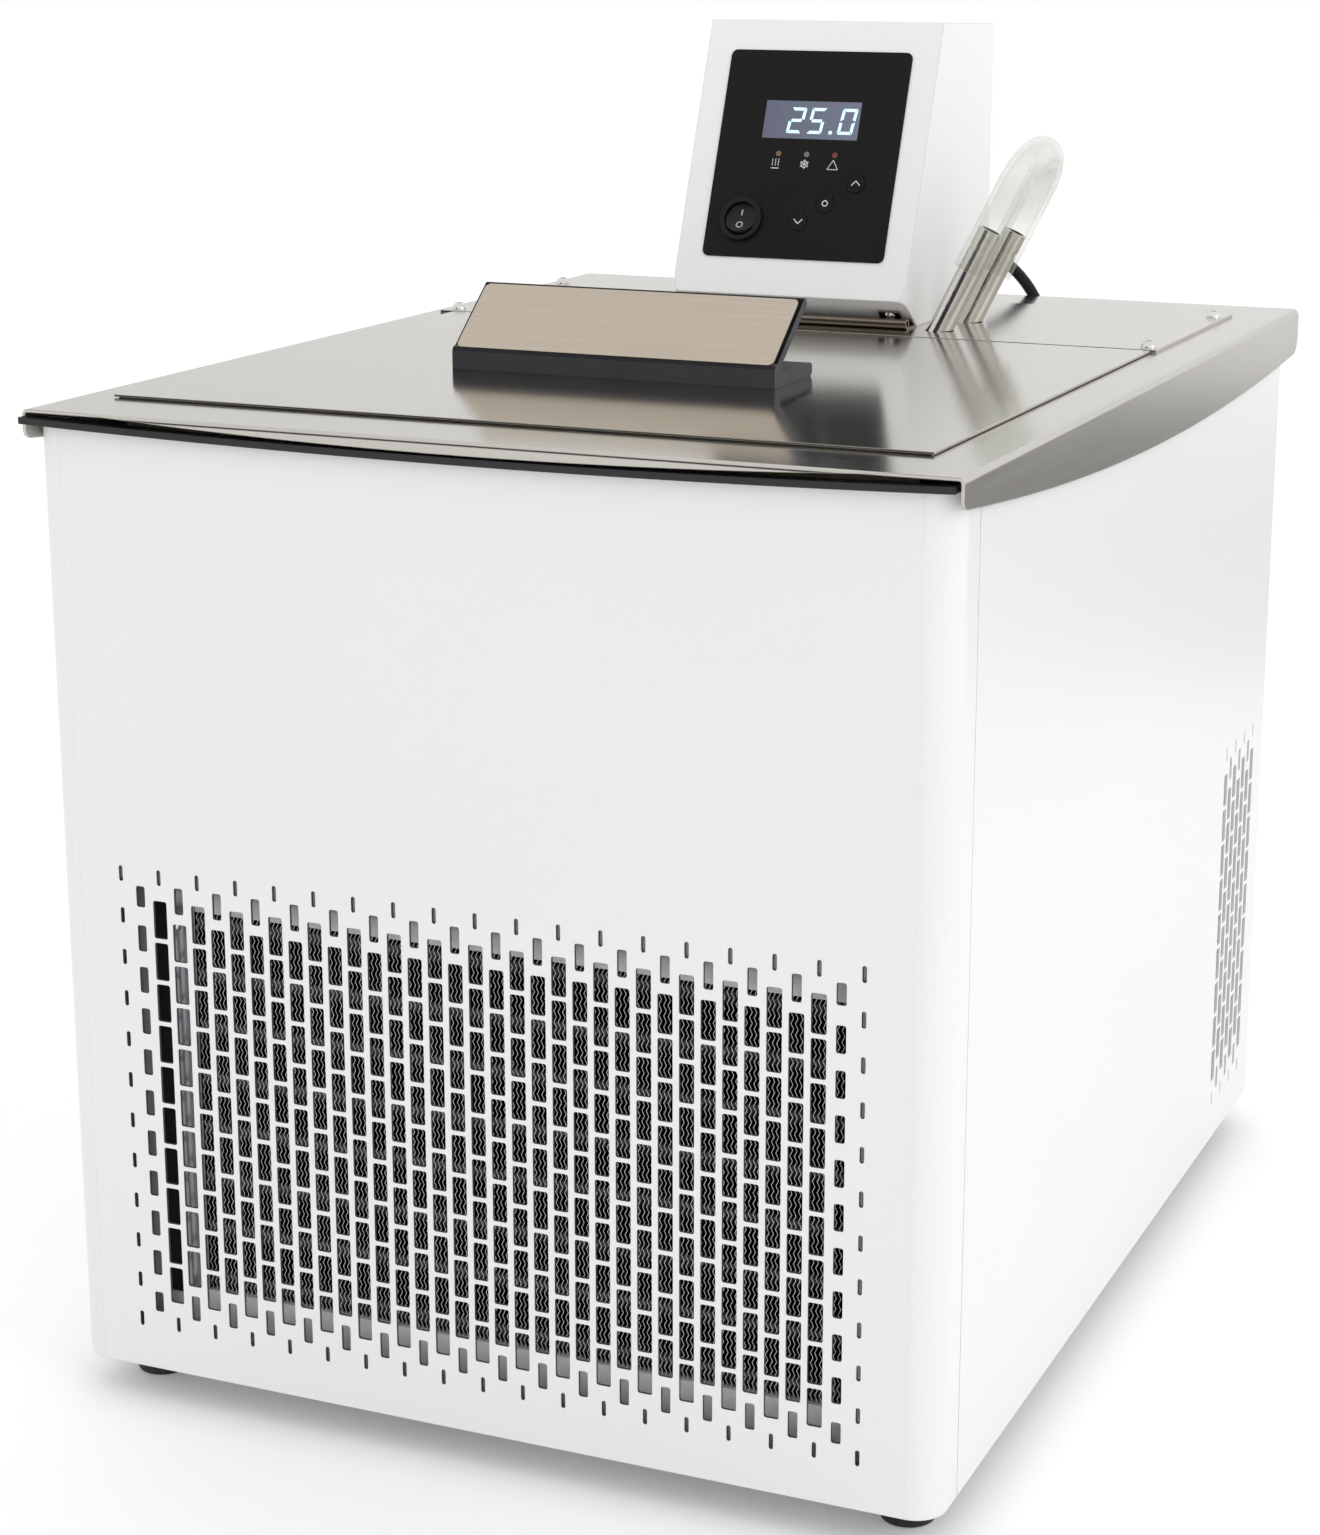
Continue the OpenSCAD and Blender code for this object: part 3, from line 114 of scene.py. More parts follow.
# ---------------------------------------------------------------- material helpers
def new_mat(name):
    m = bpy.data.materials.new(name)
    m.use_nodes = True
    nt = m.node_tree
    return m, nt, nt.nodes["Principled BSDF"]


def node(nt, kind, **values):
    """A new node. Each value goes to the input of that name, or else to the node's own setting."""
    n = nt.nodes.new(kind)
    for k, v in values.items():
        if k in n.inputs:
            n.inputs[k].default_value = v
        else:
            setattr(n, k, v)
    return n


def feed(nt, socket, value):
    """Links another node's output to the socket, or sets a plain value on it."""
    if hasattr(value, "links"):
        nt.links.new(value, socket)
    else:
        socket.default_value = value


def coords(nt, stretch=(1, 1, 1), turn=0.0):
    tc = node(nt, "ShaderNodeTexCoord")
    mp = node(nt, "ShaderNodeMapping", Scale=stretch, Rotation=(turn, 0, 0))
    nt.links.new(tc.outputs["Object"], mp.inputs["Vector"])
    return mp.outputs["Vector"]


def place_along(nt, axis):
    """The place along X, Y or Z (0, 1 or 2), in metres."""
    tc = node(nt, "ShaderNodeTexCoord")
    split = node(nt, "ShaderNodeSeparateXYZ")
    nt.links.new(tc.outputs["Object"], split.inputs[0])
    return split.outputs[axis]


def noise(nt, vec, scale, detail=3.0, rough=0.5):
    n = node(nt, "ShaderNodeTexNoise", Scale=scale, Detail=detail, Roughness=rough)
    nt.links.new(vec, n.inputs["Vector"])
    return n.outputs["Fac"]


def ranged(nt, fac, lo, hi, a=0.3, b=0.7):
    """Maps a..b to lo..hi."""
    r = node(nt, "ShaderNodeMapRange")
    for name, value in (("From Min", a), ("From Max", b), ("To Min", lo), ("To Max", hi)):
        r.inputs[name].default_value = value
    nt.links.new(fac, r.inputs["Value"])
    return r.outputs["Result"]


def mix(nt, fac, a, b):
    """A colour from a to b. Each is a node's output or three numbers."""
    m = node(nt, "ShaderNodeMix", data_type="RGBA")
    nt.links.new(fac, m.inputs[0])
    for socket, v in ((m.inputs[6], a), (m.inputs[7], b)):
        feed(nt, socket, v if hasattr(v, "links") else (*v, 1))
    return m.outputs[2]


def blend(nt, fac, a, b):
    """A number from a to b."""
    m = node(nt, "ShaderNodeMix", data_type="FLOAT")
    for socket, v in ((m.inputs[0], fac), (m.inputs[2], a), (m.inputs[3], b)):
        feed(nt, socket, v)
    return m.outputs[0]


def calc(nt, operation, *values):
    n = node(nt, "ShaderNodeMath", operation=operation)
    for socket, v in zip(n.inputs, values):
        feed(nt, socket, v)
    return n.outputs[0]


def rounded_edges(nt, radius):
    return node(nt, "ShaderNodeBevel", samples=4, Radius=radius).outputs["Normal"]


def shade(c, k):
    return tuple(min(1, x * k) for x in c)


def surface(name, base, rough=0.4, metal=0.0, var=0.04, rvar=0.06, scale=25, stretch=(1, 1, 1),
            bump=0.0, bscale=900, bdist=0.0001, spec=0.5, bevel=0.0):
    """Paint, plastic, rubber or plain metal: soft clouds in the colour, fine grain in the gloss."""
    m, nt, p = new_mat(name)
    low = noise(nt, coords(nt), scale)
    fine = noise(nt, coords(nt, stretch), bscale, 2)
    nt.links.new(mix(nt, ranged(nt, low, 0, 1), shade(base, 1 - var), shade(base, 1 + var)),
                 p.inputs["Base Color"])
    nt.links.new(ranged(nt, fine, max(0.02, rough - rvar), rough + rvar), p.inputs["Roughness"])
    p.inputs["Metallic"].default_value = metal
    p.inputs["Specular IOR Level"].default_value = spec
    normal = rounded_edges(nt, bevel) if bevel else None
    if bump:
        b = node(nt, "ShaderNodeBump", Strength=bump, Distance=bdist)
        nt.links.new(fine, b.inputs["Height"])
        if normal:
            nt.links.new(normal, b.inputs["Normal"])
        normal = b.outputs["Normal"]
    if normal:
        nt.links.new(normal, p.inputs["Normal"])
    return m


SIDE_ROUGH = 0.3


def steel(name, base, rough, aniso, var=0.05, scratch=0.35, bevel=0.0006, top=1.0):
    """Brushed sheet: fine streaks along the grain and reflections that smear across it."""
    m, nt, p = new_mat(name)
    geo = node(nt, "ShaderNodeNewGeometry")
    split = node(nt, "ShaderNodeSeparateXYZ")
    nt.links.new(geo.outputs["Normal"], split.inputs[0])
    # 1 on the folded skirts left and right, whose grain runs along Y instead of X
    side = calc(nt, "GREATER_THAN", calc(nt, "ABSOLUTE", split.outputs[0]), 0.6)
    tangent = node(nt, "ShaderNodeCombineXYZ")
    nt.links.new(calc(nt, "SUBTRACT", 1.0, side), tangent.inputs[0])
    nt.links.new(side, tangent.inputs[1])
    nt.links.new(tangent.outputs[0], p.inputs["Tangent"])
    grain = blend(nt, side, noise(nt, coords(nt, (4, 700, 700)), 3.0, 4, 0.6),
                  noise(nt, coords(nt, (700, 4, 700)), 3.0, 4, 0.6))
    cloud = noise(nt, coords(nt), 9, 4, 0.6)
    tone = mix(nt, ranged(nt, grain, 0, 1, 0.25, 0.75), shade(base, 1 - var), shade(base, 1 + var))
    tone = mix(nt, ranged(nt, cloud, 0, 0.35, 0.35, 0.75), tone, shade(base, 0.9))
    # painted shade: where side is 0 the colour is scaled by top, so the flat top is darker than the
    # skirts
    painted_top_shade = node(nt, "ShaderNodeVectorMath", operation="SCALE")
    nt.links.new(tone, painted_top_shade.inputs[0])
    nt.links.new(ranged(nt, side, top, 1, 0, 1), painted_top_shade.inputs["Scale"])
    nt.links.new(painted_top_shade.outputs[0], p.inputs["Base Color"])
    slanted = noise(nt, coords(nt, (300, 9, 420), math.radians(24)), 1.0, 3, 0.6)
    flat_r = ranged(nt, grain, rough * 0.8, rough * 1.25, 0.25, 0.75)
    side_r = ranged(nt, slanted, SIDE_ROUGH * 0.96, SIDE_ROUGH * 1.04, 0.3, 0.7)
    nt.links.new(blend(nt, side, flat_r, side_r), p.inputs["Roughness"])
    p.inputs["Metallic"].default_value = 1.0
    p.inputs["Anisotropic"].default_value = aniso
    b = node(nt, "ShaderNodeBump", Distance=0.00002)
    nt.links.new(ranged(nt, side, scratch, scratch * 0.25, 0, 1), b.inputs["Strength"])
    nt.links.new(grain, b.inputs["Height"])
    nt.links.new(rounded_edges(nt, bevel), b.inputs["Normal"])
    nt.links.new(b.outputs["Normal"], p.inputs["Normal"])
    return m


# ---------------------------------------------------------------- materials of their own
def frame_material():
    """Zinc-grey sheet round the fins: pale above them, with painted shade near its upper edge."""
    m, nt, p = new_mat("pan_paint")
    # painted shade: high marks the band near the upper edge, which is painted dark blue-grey below,
    # for the shade over the top row of slots
    high = ranged(nt, place_along(nt, 2), 0, 1, 0.252, 0.259)
    left = ranged(nt, place_along(nt, 0), 1, 0, -0.168, -0.164)
    fine = noise(nt, coords(nt), 120, 3)
    tone = mix(nt, ranged(nt, fine, 0, 1), (0.82, 0.82, 0.79), (0.9, 0.9, 0.87))
    tone = mix(nt, high, tone, (0.09, 0.095, 0.115))
    tone = mix(nt, left, tone, (0.55, 0.555, 0.6))
    nt.links.new(tone, p.inputs["Base Color"])
    nt.links.new(ranged(nt, fine, 0.4, 0.55), p.inputs["Roughness"])
    return m


def handle_material():
    """Graphite plastic with a fine grain: the ledge round the steel plate is nearly black."""
    m = surface("handle_plastic", (0.038, 0.038, 0.046), 0.5, var=0.12, rvar=0.08, bump=0.6,
                bscale=2600, bdist=0.00008, bevel=0.0006, spec=0.4)
    nt = m.node_tree
    p = nt.nodes["Principled BSDF"]
    geo = node(nt, "ShaderNodeNewGeometry")
    dot = node(nt, "ShaderNodeVectorMath", operation="DOT_PRODUCT")
    dot.inputs[1].default_value = (0, -math.sin(GRIP_TILT), math.cos(GRIP_TILT))
    nt.links.new(geo.outputs["True Normal"], dot.inputs[0])
    ledge = ranged(nt, dot.outputs["Value"], 0, 1, 0.93, 0.97)
    base = p.inputs["Base Color"].links[0].from_socket
    nt.links.new(mix(nt, ledge, base, (0.004, 0.004, 0.005)), p.inputs["Base Color"])
    nt.links.new(ranged(nt, ledge, 0.4, 0.05, 0, 1), p.inputs["Specular IOR Level"])
    return m


def clear_material():
    """Soft clear hose, slightly milky: it shows what lies behind it, and closes up at its rims."""
    m, nt, p = new_mat("clear_hose")
    cloud = noise(nt, coords(nt), 90, 3)
    nt.links.new(mix(nt, ranged(nt, cloud, 0, 1), (0.9, 0.905, 0.88), (0.95, 0.955, 0.935)),
                 p.inputs["Base Color"])
    nt.links.new(ranged(nt, cloud, 0.08, 0.18), p.inputs["Roughness"])
    clear = node(nt, "ShaderNodeBsdfTransparent", Color=(0.976, 0.98, 0.966, 1))
    facing = node(nt, "ShaderNodeLayerWeight", Blend=0.35).outputs["Facing"]
    # milkier above the nozzles' ends
    above = ranged(nt, place_along(nt, 2), 0.0, 0.16, 0.524, 0.536)
    both = node(nt, "ShaderNodeMixShader")
    nt.links.new(calc(nt, "ADD", ranged(nt, facing, 0.035, 0.4, 0.15, 1.0), above), both.inputs[0])
    nt.links.new(clear.outputs[0], both.inputs[1])
    nt.links.new(p.outputs[0], both.inputs[2])
    nt.links.new(both.outputs[0], nt.nodes["Material Output"].inputs["Surface"])
    return m


def fin_material(name, dark, lit, rough, spec=0.5):
    """Aluminium fins, painted by light level: lit in level bands, where the tube collars close the
    gaps, and the dark colour between them, which is painted shade where it is near black.
    """
    m, nt, p = new_mat(name)
    # ten steps are added, so that the remainder is never taken of a number below zero
    up = calc(nt, "ADD", place_along(nt, 2), -FIRST_TUBE + TUBE_STEP / 2 + 10 * TUBE_STEP)
    off = calc(nt, "SUBTRACT", calc(nt, "MODULO", up, TUBE_STEP), TUBE_STEP / 2)
    # painted light: band is 1 at the tube rows, where the lit colour is painted over the dark one
    band = ranged(nt, calc(nt, "ABSOLUTE", off), 1, 0, 0.0018, 0.0032)
    grit = noise(nt, coords(nt), 420, 3)
    tone = mix(nt, ranged(nt, grit, 0, 0.2), mix(nt, band, dark, lit), shade(dark, 0.6))
    nt.links.new(tone, p.inputs["Base Color"])
    nt.links.new(ranged(nt, grit, rough - 0.1, rough + 0.1), p.inputs["Roughness"])
    p.inputs["Specular IOR Level"].default_value = spec
    return m


def display_material():
    """Lit window, a little brighter towards its right end."""
    m, nt, p = new_mat("display_glass")
    glow = ranged(nt, place_along(nt, 0), 0, 1, (HEAD_X - 27) * MM, (HEAD_X + 27) * MM)
    fine = noise(nt, coords(nt), 300, 2)
    tone = mix(nt, glow, (0.07, 0.078, 0.115), (0.1, 0.112, 0.165))
    tone = mix(nt, ranged(nt, fine, 0, 0.12), tone, (0.14, 0.15, 0.2))
    nt.links.new(tone, p.inputs["Base Color"])
    nt.links.new(tone, p.inputs["Emission Color"])
    p.inputs["Emission Strength"].default_value = 0.55
    nt.links.new(ranged(nt, fine, 0.1, 0.16), p.inputs["Roughness"])
    return m


def digit_material():
    m, nt, p = new_mat("display_digits")
    base = (0.6, 0.86, 0.92)
    fine = noise(nt, coords(nt), 700, 2)
    tone = mix(nt, ranged(nt, fine, 0, 1), shade(base, 0.92), shade(base, 1.05))
    nt.links.new(tone, p.inputs["Base Color"])
    nt.links.new(tone, p.inputs["Emission Color"])
    p.inputs["Emission Strength"].default_value = 0.62
    p.inputs["Roughness"].default_value = 0.4
    return m


def led_material():
    """The three lamps, told apart by their place: amber, clear and red."""
    m, nt, p = new_mat("led_plastic")
    amber = ranged(nt, place_along(nt, 0), 1, 0, (HEAD_X - 9) * MM, (HEAD_X - 8) * MM)
    red = ranged(nt, place_along(nt, 0), 0, 1, (HEAD_X + 8) * MM, (HEAD_X + 9) * MM)
    tone = mix(nt, amber, (0.17, 0.18, 0.18), (0.2, 0.13, 0.03))
    tone = mix(nt, red, tone, (0.2, 0.03, 0.025))
    fine = noise(nt, coords(nt), 900, 2)
    tone = mix(nt, ranged(nt, fine, 0, 0.2), tone, (0.1, 0.1, 0.1))
    nt.links.new(tone, p.inputs["Base Color"])
    p.inputs["Roughness"].default_value = 0.25
    return m


white = surface("white_paint", (0.885, 0.889, 0.9), 0.34, var=0.006, rvar=0.04, bump=0.12,
                bscale=2600, bdist=0.00004, bevel=0.0004, scale=4)
# painted shade: the front grille's slot walls are near black, for the shade inside the slots
slot_wall_shade = surface("slot_walls_painted_shade", (0.09, 0.092, 0.1), 0.5, var=0.1)
vent_edge = surface("vent_edges", (0.92, 0.92, 0.92), 0.5, var=0.02)
white_head = surface("white_plastic", (0.945, 0.946, 0.948), 0.42, var=0.008, rvar=0.05, bump=0.18,
                     bscale=3000, bdist=0.00004, bevel=0.0012, scale=6)
grey_paint = surface("zinc_sheet", (0.3, 0.305, 0.32), 0.45, var=0.05, bump=0.1)
# painted shade: top=0.9 paints the deck's and the lid's flat tops darker than their skirts
deck_steel = steel("deck_steel", (0.62, 0.6, 0.555), 0.14, 0.6, top=0.9)
lid_steel = steel("lid_steel", (0.62, 0.598, 0.55), 0.13, 0.6, top=0.9)
plate_steel = steel("handle_steel", (0.52, 0.455, 0.375), 0.34, 0.5, var=0.12, scratch=0.5,
                    bevel=0.0003)
tank_steel = steel("tank_steel", (0.6, 0.59, 0.57), 0.3, 0.3)
dark_steel = surface("dark_steel", (0.24, 0.2, 0.165), 0.3, 1.0, var=0.05, rvar=0.03, bevel=0.0003)
screw_steel = surface("screw_steel", (0.7, 0.69, 0.67), 0.2, 1.0, var=0.06, bump=0.1, bevel=0.0002)
nozzle_steel = surface("nozzle_steel", (0.62, 0.6, 0.57), 0.16, 1.0, var=0.08, rvar=0.08,
                       stretch=(1, 1, 0.05), bump=0.15, bscale=1500, bevel=0.0003)
black_rubber = surface("trim_rubber", (0.012, 0.012, 0.014), 0.3, var=0.2, bump=0.1, bevel=0.0006)
foot_rubber = surface("foot_rubber", (0.014, 0.014, 0.015), 0.6, var=0.25, bump=0.3, bscale=1500)
lead_rubber = surface("lead_rubber", (0.007, 0.007, 0.007), 0.42, var=0.2, bump=0.2, bscale=1800,
                      spec=0.2)
handle_black = handle_material()
black_plastic = surface("black_plastic", (0.02, 0.02, 0.022), 0.45, var=0.15, bump=0.3, bscale=1500,
                        bevel=0.0005)
foil = surface("black_foil", (0.0115, 0.011, 0.0108), 0.5, var=0.1, rvar=0.04, bump=0.25,
               bscale=3600, bdist=0.00004, spec=0.12)
switch_black = surface("switch_plastic", (0.008, 0.008, 0.009), 0.25, var=0.1, bump=0.05,
                       bevel=0.0006, spec=0.22)
copper = surface("copper_pipe", (0.66, 0.36, 0.22), 0.3, 1.0, var=0.12, bump=0.1)
# painted shade: the copper bends behind the fins are painted near black, so they sit in the same shade
# as the gaps between the fins
copper_in_painted_shade = surface("copper_bends", (0.035, 0.026, 0.022), 0.55, 0.3, var=0.2)
channel_steel = surface("channel_steel", (0.3, 0.305, 0.32), 0.35, 0.6, var=0.1,
                        stretch=(1, 1, 0.05), bump=0.2)
nickel = surface("valve_nickel", (0.62, 0.6, 0.56), 0.25, 1.0, var=0.08, bevel=0.0005)
motor_metal = surface("motor_metal", (0.45, 0.46, 0.48), 0.4, 1.0, var=0.08, bump=0.3, bevel=0.0008)
black_paint = surface("black_paint", (0.015, 0.015, 0.017), 0.25, var=0.1, bump=0.1, bevel=0.001)
foam = surface("foam", (0.7, 0.62, 0.44), 0.85, var=0.12, bump=0.8, bscale=500, bdist=0.0004)
seal_foam = surface("seal_foam", (0.008, 0.008, 0.008), 0.9, var=0.2, bump=0.6)
box_grey = surface("box_plastic", (0.25, 0.26, 0.27), 0.5, var=0.06, bump=0.2, bevel=0.001)
board = surface("board_green", (0.02, 0.12, 0.06), 0.4, var=0.2)
shaft_steel = surface("shaft_steel", (0.62, 0.61, 0.59), 0.2, 1.0, var=0.06)
clear_hose = clear_material()
# painted shade: the fins' sides are near black, for the deep shade in the gaps between them; the bands
# are painted lit grey where the collars close the gaps
fins = fin_material("fin_aluminium", (0.005, 0.005, 0.007), (0.34, 0.345, 0.355), 0.6, 0.04)
fin_edge = fin_material("fin_edges", (0.86, 0.86, 0.87), (0.97, 0.97, 0.98), 0.45)
print_white = surface("panel_print", (0.78, 0.78, 0.77), 0.5)
rocker_print = surface("rocker_print", (0.42, 0.42, 0.43), 0.5)

LOOK = {
    "front_trim": black_rubber, "feet": foot_rubber, "deck_sheet": deck_steel,
    "bridge_plate": deck_steel, "bath_lid": lid_steel, "bath_tank": tank_steel,
    "bridge_screws": screw_steel, "bracket_screws": screw_steel, "condenser_screw": screw_steel,
    "tank_insulation": foam, "evaporator_coil": nickel, "drain_tap": nickel,
    "drain_knob": black_plastic, "condenser_frame": frame_material(), "base_pan": grey_paint,
    "tank_shelf": grey_paint, "condenser_channel": channel_steel, "condenser_seal": seal_foam,
    "condenser_fins": fins, "condenser_tubes": copper_in_painted_shade, "fan_shroud": black_plastic,
    "fan_motor": motor_metal, "fan_rotor": black_plastic, "compressor": black_paint,
    "compressor_mounts": foot_rubber, "filter_dryer": copper, "discharge_line": copper,
    "suction_line": copper, "capillary_line": copper, "control_box": box_grey,
    "mains_inlet": black_plastic, "lead_plug": lead_rubber, "link_lead": lead_rubber,
    "lead_gland": lead_rubber, "head_housing": white_head, "head_bracket": dark_steel,
    "control_foil": foil, "display_window": display_material(), "status_leds": led_material(),
    "switch_bezel": switch_black, "switch_rocker": switch_black, "key_up": foil,
    "key_select": foil, "key_down": foil, "control_board": board, "nozzle_outlet": nozzle_steel,
    "nozzle_return": nozzle_steel, "bypass_hose": clear_hose, "pump_motor": motor_metal,
    "pump_shaft": shaft_steel, "pump_housing": black_plastic, "heater_rod": shaft_steel,
    "temperature_probe": shaft_steel, "lid_handle": handle_black, "handle_plate": plate_steel,
    "front_panel": white, "side_panel_left": white, "side_panel_right": white,
    "rear_panel": white,
}
for name, obj in NODES.items():
    obj.data.materials.clear()
    obj.data.materials.append(LOOK[name])


# ---------------------------------------------------------------- mesh helpers
def link(obj, body, material, replaces=(), edges=None):
    """Puts a new piece on its body. The faces with index 1 get the material given as edges."""
    marks = [poly.material_index for poly in obj.data.polygons]
    bpy.context.scene.collection.objects.link(obj)
    obj.data.materials.clear()
    obj.data.materials.append(material)
    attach(obj, body)
    if replaces:
        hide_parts(*replaces)
    if edges:
        obj.data.materials.append(edges)
        for poly, mark in zip(obj.data.polygons, marks):
            poly.material_index = mark


def mesh_object(name, verts, faces):
    """A new object with flat faces."""
    me = bpy.data.meshes.new(name)
    me.from_pydata(verts, [], faces)
    me.validate()
    return bpy.data.objects.new(name, me)


def rounded(cx, cy, w, h, r, steps=4):
    """A rectangle with round corners, as points."""
    pts = []
    for k, (sx, sy) in enumerate(((1, 1), (-1, 1), (-1, -1), (1, -1))):
        for i in range(steps + 1):
            a = math.pi / 2 * (k + i / steps)
            pts.append((cx + sx * (w / 2 - r) + r * math.cos(a),
                        cy + sy * (h / 2 - r) + r * math.sin(a)))
    return pts


def plate(name, outline, holes, thick, place):
    """A flat sheet with holes: each loop is a list of points in its plane, in mm."""
    cu = bpy.data.curves.new(name, "CURVE")
    cu.dimensions = "2D"
    cu.fill_mode = "BOTH"
    cu.extrude = thick / 2 * MM
    for loop in [outline] + holes:
        sp = cu.splines.new("POLY")
        sp.points.add(len(loop) - 1)
        for pnt, (x, y) in zip(sp.points, loop):
            pnt.co = (x * MM, y * MM, 0, 1)
        sp.use_cyclic_u = True
    tmp = bpy.data.objects.new(name + "_curve", cu)
    bpy.context.scene.collection.objects.link(tmp)
    dg = bpy.context.evaluated_depsgraph_get()
    me = bpy.data.meshes.new_from_object(tmp.evaluated_get(dg))
    bpy.data.objects.remove(tmp)
    me.name = name
    me.transform(place)
    return bpy.data.objects.new(name, me)


def mark_edges(obj, across):
    """The punched walls of the holes, which don't look along that axis, get index 1."""
    for poly in obj.data.polygons:
        if abs(poly.normal[across]) < 0.5:
            poly.material_index = 1


def outward(mesh, extra=()):
    """Adds pieces, given as vertices and faces, and turns all faces outward."""
    bm = bmesh.new()
    bm.from_mesh(mesh)
    for verts, faces in extra:
        made = [bm.verts.new(v) for v in verts]
        for f in faces:
            bm.faces.new([made[i] for i in f])
    bmesh.ops.recalc_face_normals(bm, faces=bm.faces)
    bm.to_mesh(mesh)
    bm.free()


# ---------------------------------------------------------------- casing with rounded slots
def grille_holes():
    """Staggered columns of slots, smaller at all four borders."""
    holes = []
    for c in range(GRILLE_COLUMNS):
        x = (c - GRILLE_COLUMNS // 2) * COLUMN_STEP
        odd = c % 2
        last = GRILLE_ROWS - odd
        for k in range(last + 1):
            z = GRILLE_Z - (k + odd / 2) * ROW_STEP
            side_end = c in (odd, GRILLE_COLUMNS - 1 - odd)
            row_end = k in (0, last)
            w, h, r = FULL_SLOT
            if side_end or row_end:
                w, h, r = MID_SLOT if odd else TINY_SLOT
                if odd and side_end and row_end:
                    h = CORNER_SLOT_H
            holes.append(rounded(x, z, w, h, r))
    return holes


def vent_holes(side):
    """Staggered columns of full slots, each with one smaller slot above and one below."""
    holes = []
    for c in range(VENT_COLUMNS):
        y = (VENT_Y + FRONT_Y + c * COLUMN_STEP) * side
        odd = c % 2
        full = VENT_ROWS - odd
        for k in [*range(full + 1), -1, full + 1]:
            slot = FULL_SLOT if 0 <= k <= full else MID_SLOT if odd else TINY_SLOT
            holes.append(rounded(y, VENT_Z - (k + odd / 2) * ROW_STEP, *slot))
    return holes


def front_corner(side):
    """The round upright corner and its return along the side."""
    verts, faces = [], []
    rings = []
    for r in (CORNER_R, CORNER_R - SHEET):
        pts = []
        for i in range(13):
            a = math.pi / 2 * i / 12
            pts.append((side * (FLAT + r * math.sin(a)), FRONT_Y + CORNER_R - r * math.cos(a)))
        pts.append((side * (FLAT + r), FRONT_Y + FRONT_RETURN))
        rings.append(pts)
    n = len(rings[0])
    for pts in rings:
        for z in (FOOT_H, TRIM_LOW - 0.1):
            verts += [(x * MM, y * MM, z * MM) for x, y in pts]
    for i in range(n - 1):
        faces.append((i, i + 1, n + i + 1, n + i))
        faces.append((2 * n + i, 3 * n + i, 3 * n + i + 1, 2 * n + i + 1))
        faces.append((i, 2 * n + i, 2 * n + i + 1, i + 1))
        faces.append((n + i, n + i + 1, 3 * n + i + 1, 3 * n + i))
    faces.append((n - 1, 3 * n - 1, 4 * n - 1, 2 * n - 1))
    return verts, [f if side > 0 else f[::-1] for f in faces]


def front_skin():
    """The slotted panel, whose upper edge sags with the trim."""
    outline = [(-FLAT, FOOT_H), (FLAT, FOOT_H)]
    for i in range(25):
        x = FLAT * (1 - 2 * i / 24)
        outline.append((x, TRIM_LOW + PANEL_TUCK - TRIM_SAG * (1 - (x / HALF_W) ** 2)))
    # the curve's plane (x, y) becomes (x, z); its thickness runs along Y
    place = (Matrix.Translation((0, (FRONT_Y + SHEET / 2) * MM, 0))
             @ Matrix.Rotation(math.pi / 2, 4, "X"))
    obj = plate("front_skin", outline, grille_holes(), SHEET, place)
    mark_edges(obj, 1)
    outward(obj.data, [front_corner(side) for side in (-1, 1)])
    return obj


def side_skin(name, side):
    y0 = FRONT_Y + FRONT_RETURN + SEAM
    y1 = FRONT_Y + BODY_D
    # plane x runs along Y on the right side and along -Y on the left one
    outline = [(y0 * side, FOOT_H), (y1 * side, FOOT_H), (y1 * side, DECK_Z - SHEET),
               (y0 * side, DECK_Z - SHEET)]
    place = (Matrix.Translation((side * (HALF_W - SHEET / 2) * MM, 0, 0))
             @ Matrix.Rotation(side * math.pi / 2, 4, "Z") @ Matrix.Rotation(math.pi / 2, 4, "X"))
    obj = plate(name, outline, vent_holes(side), SHEET, place)
    mark_edges(obj, 0)
    return obj


link(front_skin(), "cabinet", white, ["front_panel"], slot_wall_shade)
for side, name in ((1, "side_panel_right"), (-1, "side_panel_left")):
    link(side_skin(name + "_skin", side), "cabinet", white, [name], vent_edge)


# ---------------------------------------------------------------- wavy condenser fins
def wavy_fins(name, back, pitch, period, amp, thick, cut):
    """A rank of fins, bent in waves up their height. Their front edges get index 1."""
    verts, faces = [], []
    high = COND_H - cut
    steps = int(high / period * 4)
    for k in range(int((COND_X1 - COND_X0 - 2) / pitch) + 1):
        x = COND_X0 + 1 + k * pitch
        base = len(verts)
        wobble = 0.12 * math.sin(k * 1.7)
        for i in range(steps + 1):
            z = COND_Z0 + high * i / steps
            dx = (amp * math.sin(2 * math.pi * (z - COND_Z0) / period)
                  + wobble * math.sin(z * 0.13 + k))
            dx = max(-FIN_REACH, min(FIN_REACH, dx))
            for sx, y in ((-thick / 2, FIN_D), (-thick / 2, 0), (thick / 2, 0), (thick / 2, FIN_D)):
                verts.append(((x + dx + sx) * MM, (FRONT_Y + back + y) * MM, z * MM))
        for i in range(steps):
            a, b = base + 4 * i, base + 4 * i + 4
            faces += [(a + j, a + j + 1, b + j + 1, b + j) for j in range(3)]
    obj = mesh_object(name, verts, faces)
    for poly in obj.data.polygons:
        poly.material_index = 1 if poly.index % 3 == 1 else 0
    return obj


def fin_header():
    """The pale folded strip over the fins' upper ends."""
    top = COND_Z0 + COND_H
    verts = [(x * MM, (FRONT_Y + y) * MM, z * MM) for z in (top - FIN_HEADER_H, top)
             for y in FIN_HEADER_Y for x in (COND_X0, COND_X1)]
    return mesh_object("fin_header", verts, [(0, 1, 5, 4), (3, 2, 6, 7), (2, 0, 4, 6),
                                             (1, 3, 7, 5), (4, 5, 7, 6), (2, 3, 1, 0)])


